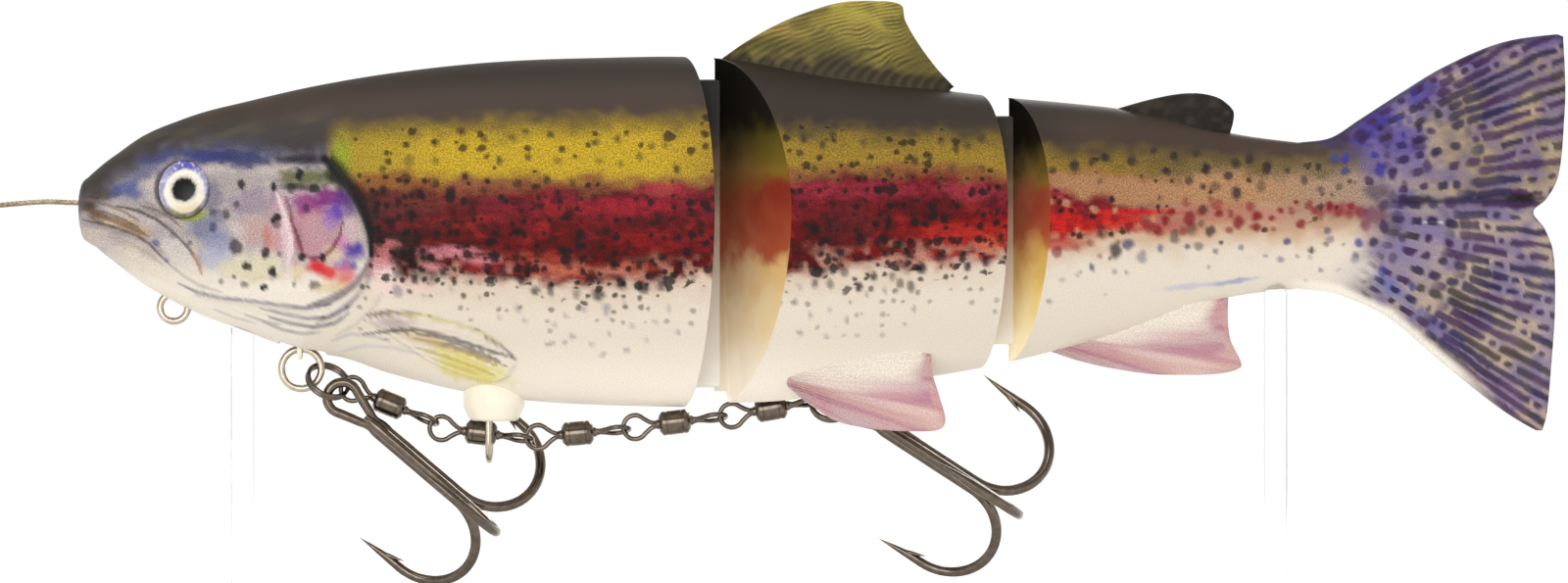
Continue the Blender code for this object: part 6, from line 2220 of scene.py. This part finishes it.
@dataclass
class Studio:
    """Camera, soft lights and a pale floor."""

    aim: Point = (-5.1, 0.0, 53.9)
    distance: float = 1250.0
    view_width: float = 210.9
    sensor: float = 36.0
    floor_radius: float = 30000.0
    floor_gap: float = 0.1
    sky_low: float = 1.05
    sky_high: float = 0.5
    sun_strength: float = 1.7
    sun_tilt_deg: Pair = (14.0, -8.0)
    sun_spread_deg: float = 45.0

    def camera(self) -> None:
        """Long lens, level with the flank."""
        data = bpy.data.cameras.new("studio_camera")
        data.sensor_width = self.sensor
        data.lens = self.sensor * self.distance / self.view_width
        data.clip_start, data.clip_end = 0.05, 60.0
        item = added("studio_camera", data)
        item.location = Vector((self.aim[0], -self.distance, self.aim[2])) * MM
        item.rotation_euler = (math.radians(90), 0, 0)
        bpy.context.scene.camera = item

    def area(self, name: str, place: Sequence[float], size: float, power: float) -> None:
        """Square soft light that faces the lure."""
        data = bpy.data.lights.new(name, "AREA")
        data.shape = "SQUARE"
        data.size = size
        data.energy = power
        item = added(name, data)
        item.location = Vector(place)
        aim = Vector(self.aim) * MM
        item.rotation_euler = (aim - item.location).to_track_quat("-Z", "Y").to_euler()

    def sun(self) -> None:
        """Very soft overhead light, as from a ceiling of diffusers."""
        data = bpy.data.lights.new("overhead", "SUN")
        data.energy = self.sun_strength
        data.angle = math.radians(self.sun_spread_deg)
        item = added("overhead", data)
        item.rotation_euler = (math.radians(self.sun_tilt_deg[0]), math.radians(self.sun_tilt_deg[1]), 0)

    def sky(self) -> None:
        """White surround, brightest near the horizon."""
        world = bpy.data.worlds.new("studio")
        world.use_nodes = True
        tree = world.node_tree
        ray = tree.nodes.new("ShaderNodeTexCoord")
        axes = tree.nodes.new("ShaderNodeSeparateXYZ")
        fall = tree.nodes.new("ShaderNodeMapRange")
        fall.interpolation_type = "SMOOTHSTEP"
        limits = {"From Min": 0.2, "From Max": 0.55, "To Min": self.sky_low, "To Max": self.sky_high}
        for key, value in limits.items():
            fall.inputs[key].default_value = value
        backdrop = tree.nodes["Background"]
        backdrop.inputs["Color"].default_value = (1.0, 1.0, 1.0, 1.0)
        tree.links.new(ray.outputs["Generated"], axes.inputs[0])
        tree.links.new(axes.outputs[2], fall.inputs["Value"])
        tree.links.new(fall.outputs[0], backdrop.inputs["Strength"])
        bpy.context.scene.world = world

    def floor(self) -> None:
        """One large pale disc under the stand."""
        mesh = bmesh.new()
        bmesh.ops.create_circle(mesh, cap_ends=True, segments=96, radius=self.floor_radius * MM)
        data = bpy.data.meshes.new("floor")
        mesh.to_mesh(data)
        mesh.free()
        data.materials.append(PALETTE.get("floor"))
        item = added("floor", data)
        item.location.z = -self.floor_gap * MM

    def build(self) -> None:
        """Make the camera, lights, sky and floor."""
        bpy.context.scene.view_settings.view_transform = "Standard"
        self.camera()
        self.area("key", (-0.3, -1.1, 0.22), 0.7, 5.0)
        self.area("rim", (0.3, 0.8, 0.6), 0.5, 4.0)
        self.sun()
        self.sky()
        self.floor()


# ---- Assembly ----

SECTIONS = (
    SkinSection(
        "front_section", "front", -100, -12, ((-60, 0.27), (-12, 0.42)), 172,
        (JointCut(-18.66, 0.32, False),),
        ("head", "lower_jaw", "gill_cover_left", "gill_cover_right", "front_trunk", "pectoral_fin_left",
         "pectoral_fin_right"), ("joint",),
    ),
    SkinSection(
        "middle_section", "middle", -18, 27, ((27, 0.32),), 156,
        (JointCut(-14.57, 0.8, True), JointCut(21.3, 0.35, False)), ("middle_trunk",),
        ("joint", "rear_joint"),
    ),
    SkinSection(
        "tail_section", "tail", 22, 64.1, ((64.1, 0.34),), 176, (JointCut(25.05, 0.59, True),),
        ("tail_trunk", "caudal_fin"), ("rear_joint",), with_fin=True,
    ),
)

PELVIC_ROOT = ((-5.2, 43.5), (-1, 45), (4, 46), (9, 46.8), (14.6, 47.4))
PELVIC_OUTER = (
    (-4.6, 41.2), (-2.6, 39.4), (-0.6, 38), (1.4, 36.7), (4, 35.9), (8, 35.3), (13, 35.1), (15.8, 35.4),
    (16.5, 36.6), (15.6, 40.2), (14.7, 43.4), (14.6, 46.4),
)


def pelvic_placing(side: int) -> Matrix:
    """Matrix that leans a belly fin outwards on its flank; side is -1 for left and 1 for right."""
    lean = turned(side * 10.0, "X")
    return Matrix.Translation((0, side * 5.8, 41.0)) @ lean @ Matrix.Translation((0, 0, -41.0))


def build_fins() -> None:
    """Dorsal, adipose, anal and pelvic fins."""
    RayedFin(
        "dorsal_fin", "middle", ((-11.2, 82.8), (-6, 82.2), (2, 81.2), (10, 79.8), (17.6, 78.6)),
        ((-13.5, 85.2), (-10.2, 87.5), (-5.9, 89.9), (-1.4, 91.7), (2.6, 92.8), (6.5, 93), (10.6, 92.5),
         (11.2, 90.4), (12.9, 87.4), (15.4, 84), (17.8, 81.4)),
        1.3, 0.35, dorsal_ray, paint_dorsal, bow=(-0.6, 0.5), flare=2.4, along=150, across=72,
    ).build()
    RayedFin(
        "adipose_fin", "tail", ((37.6, 76.2), (44, 75.2), (49, 74.2), (54.8, 73.2)),
        ((38, 78), (44.8, 79.9), (49.6, 80.6), (53.2, 80), (55.3, 78.3), (55.3, 76.6), (54.9, 75.4)),
        1.35, 0.45, dorsal_ray, paint_adipose, flare=1.8, ray_height=0.03, along=72, across=32,
    ).build()
    RayedFin(
        "anal_fin", "tail", ((30.6, 48.6), (38, 50.8), (44, 52.6), (50, 54.6), (54.6, 56.4)),
        ((30.8, 45.8), (34.1, 44.7), (38.8, 43.6), (46.3, 42.7), (56.2, 43.6), (54.9, 47.6), (54.6, 50.6),
         (54.7, 53.9), (54.7, 55.6)),
        1.2, 0.35, anal_ray, paint_pink(anal_ray), flare=2.6, along=120, across=64,
    ).build()
    for name, side in (("left", -1), ("right", 1)):
        RayedFin(
            f"pelvic_fin_{name}", "middle", PELVIC_ROOT, PELVIC_OUTER, 0.95, 0.35, pelvic_ray,
            paint_pink(pelvic_ray), flare=2.6, aside=5, along=110, across=60, placing=pelvic_placing(side),
        ).build()


def build_rig() -> None:
    """Hinge webs, loops, rings, post, swivels and hooks."""
    HingeWeb("front_web", ("front", "middle"), (-18.3, -14.57), (41, 82.4)).build()
    HingeWeb("rear_web", ("middle", "tail"), (21.9, 25.05), (46.8, 77.5)).build()
    WireRing("chin_loop", "front", "bright", "bright_wire", (-87.15, 0, 51.75), 1.85, 0.5).build()
    BellyPost().build()
    HangingLoop("belly_loop", "bright", "bright_wire", -44.75, 33.5, 2.25, 0.48, 36.8).build()
    HangingLoop("leader_exit_loop", "post", "bright_wire", -70.2, 46.1, 1.05, 0.36, 48.4).build()
    WireRing("belly_ring", "front", "bright", "bright_wire", (-70, 0, 43.5), 2.67, 0.5).build()
    WireRing(
        "front_split_ring", "front", "nickel", "black_nickel", (-66.4, -0.4, 41.85), 2.85, 0.3,
        turned(28, "Y") @ turned(-50, "X"), 1.96, 0.3,
    ).build()
    WireRing(
        "rear_split_ring", "middle", "nickel", "black_nickel", (1.25, 0, 38.9), 2.7, 0.3,
        turned(-35, "X"), 1.96, 0.3,
    ).build()
    for number, (centre, droop, body) in enumerate(
        (
            ((-58.15, 0, 38.77), 22, "front"), ((-45.85, 0, 34.85), 7, "front"),
            ((-32.85, 0, 34.8), -5, "front"), ((-19.8, 0, 36.3), -7, "front"),
            ((-6.85, 0, 38.15), -10, "middle"),
        ),
        start=1,
    ):
        Swivel(number, centre, droop, body).build()
    TrebleHook("front_treble_hook", "front_hook", (-64.4, -1.24, 39.6), 40.5).build()
    TrebleHook("rear_treble_hook", "rear_hook", (3.3, 0, 39), 33).build()


def main() -> None:
    """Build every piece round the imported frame."""
    logging.basicConfig(level=logging.INFO, format="%(name)s %(message)s")
    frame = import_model()
    Studio().build()
    Leader().build()
    for section in SECTIONS:
        section.build()
    build_fins()
    for side in (-1, 1):
        DomedEye(side).build()
    build_rig()
    Stand().dress(frame["nodes"])


if __name__ == "__main__":
    main()
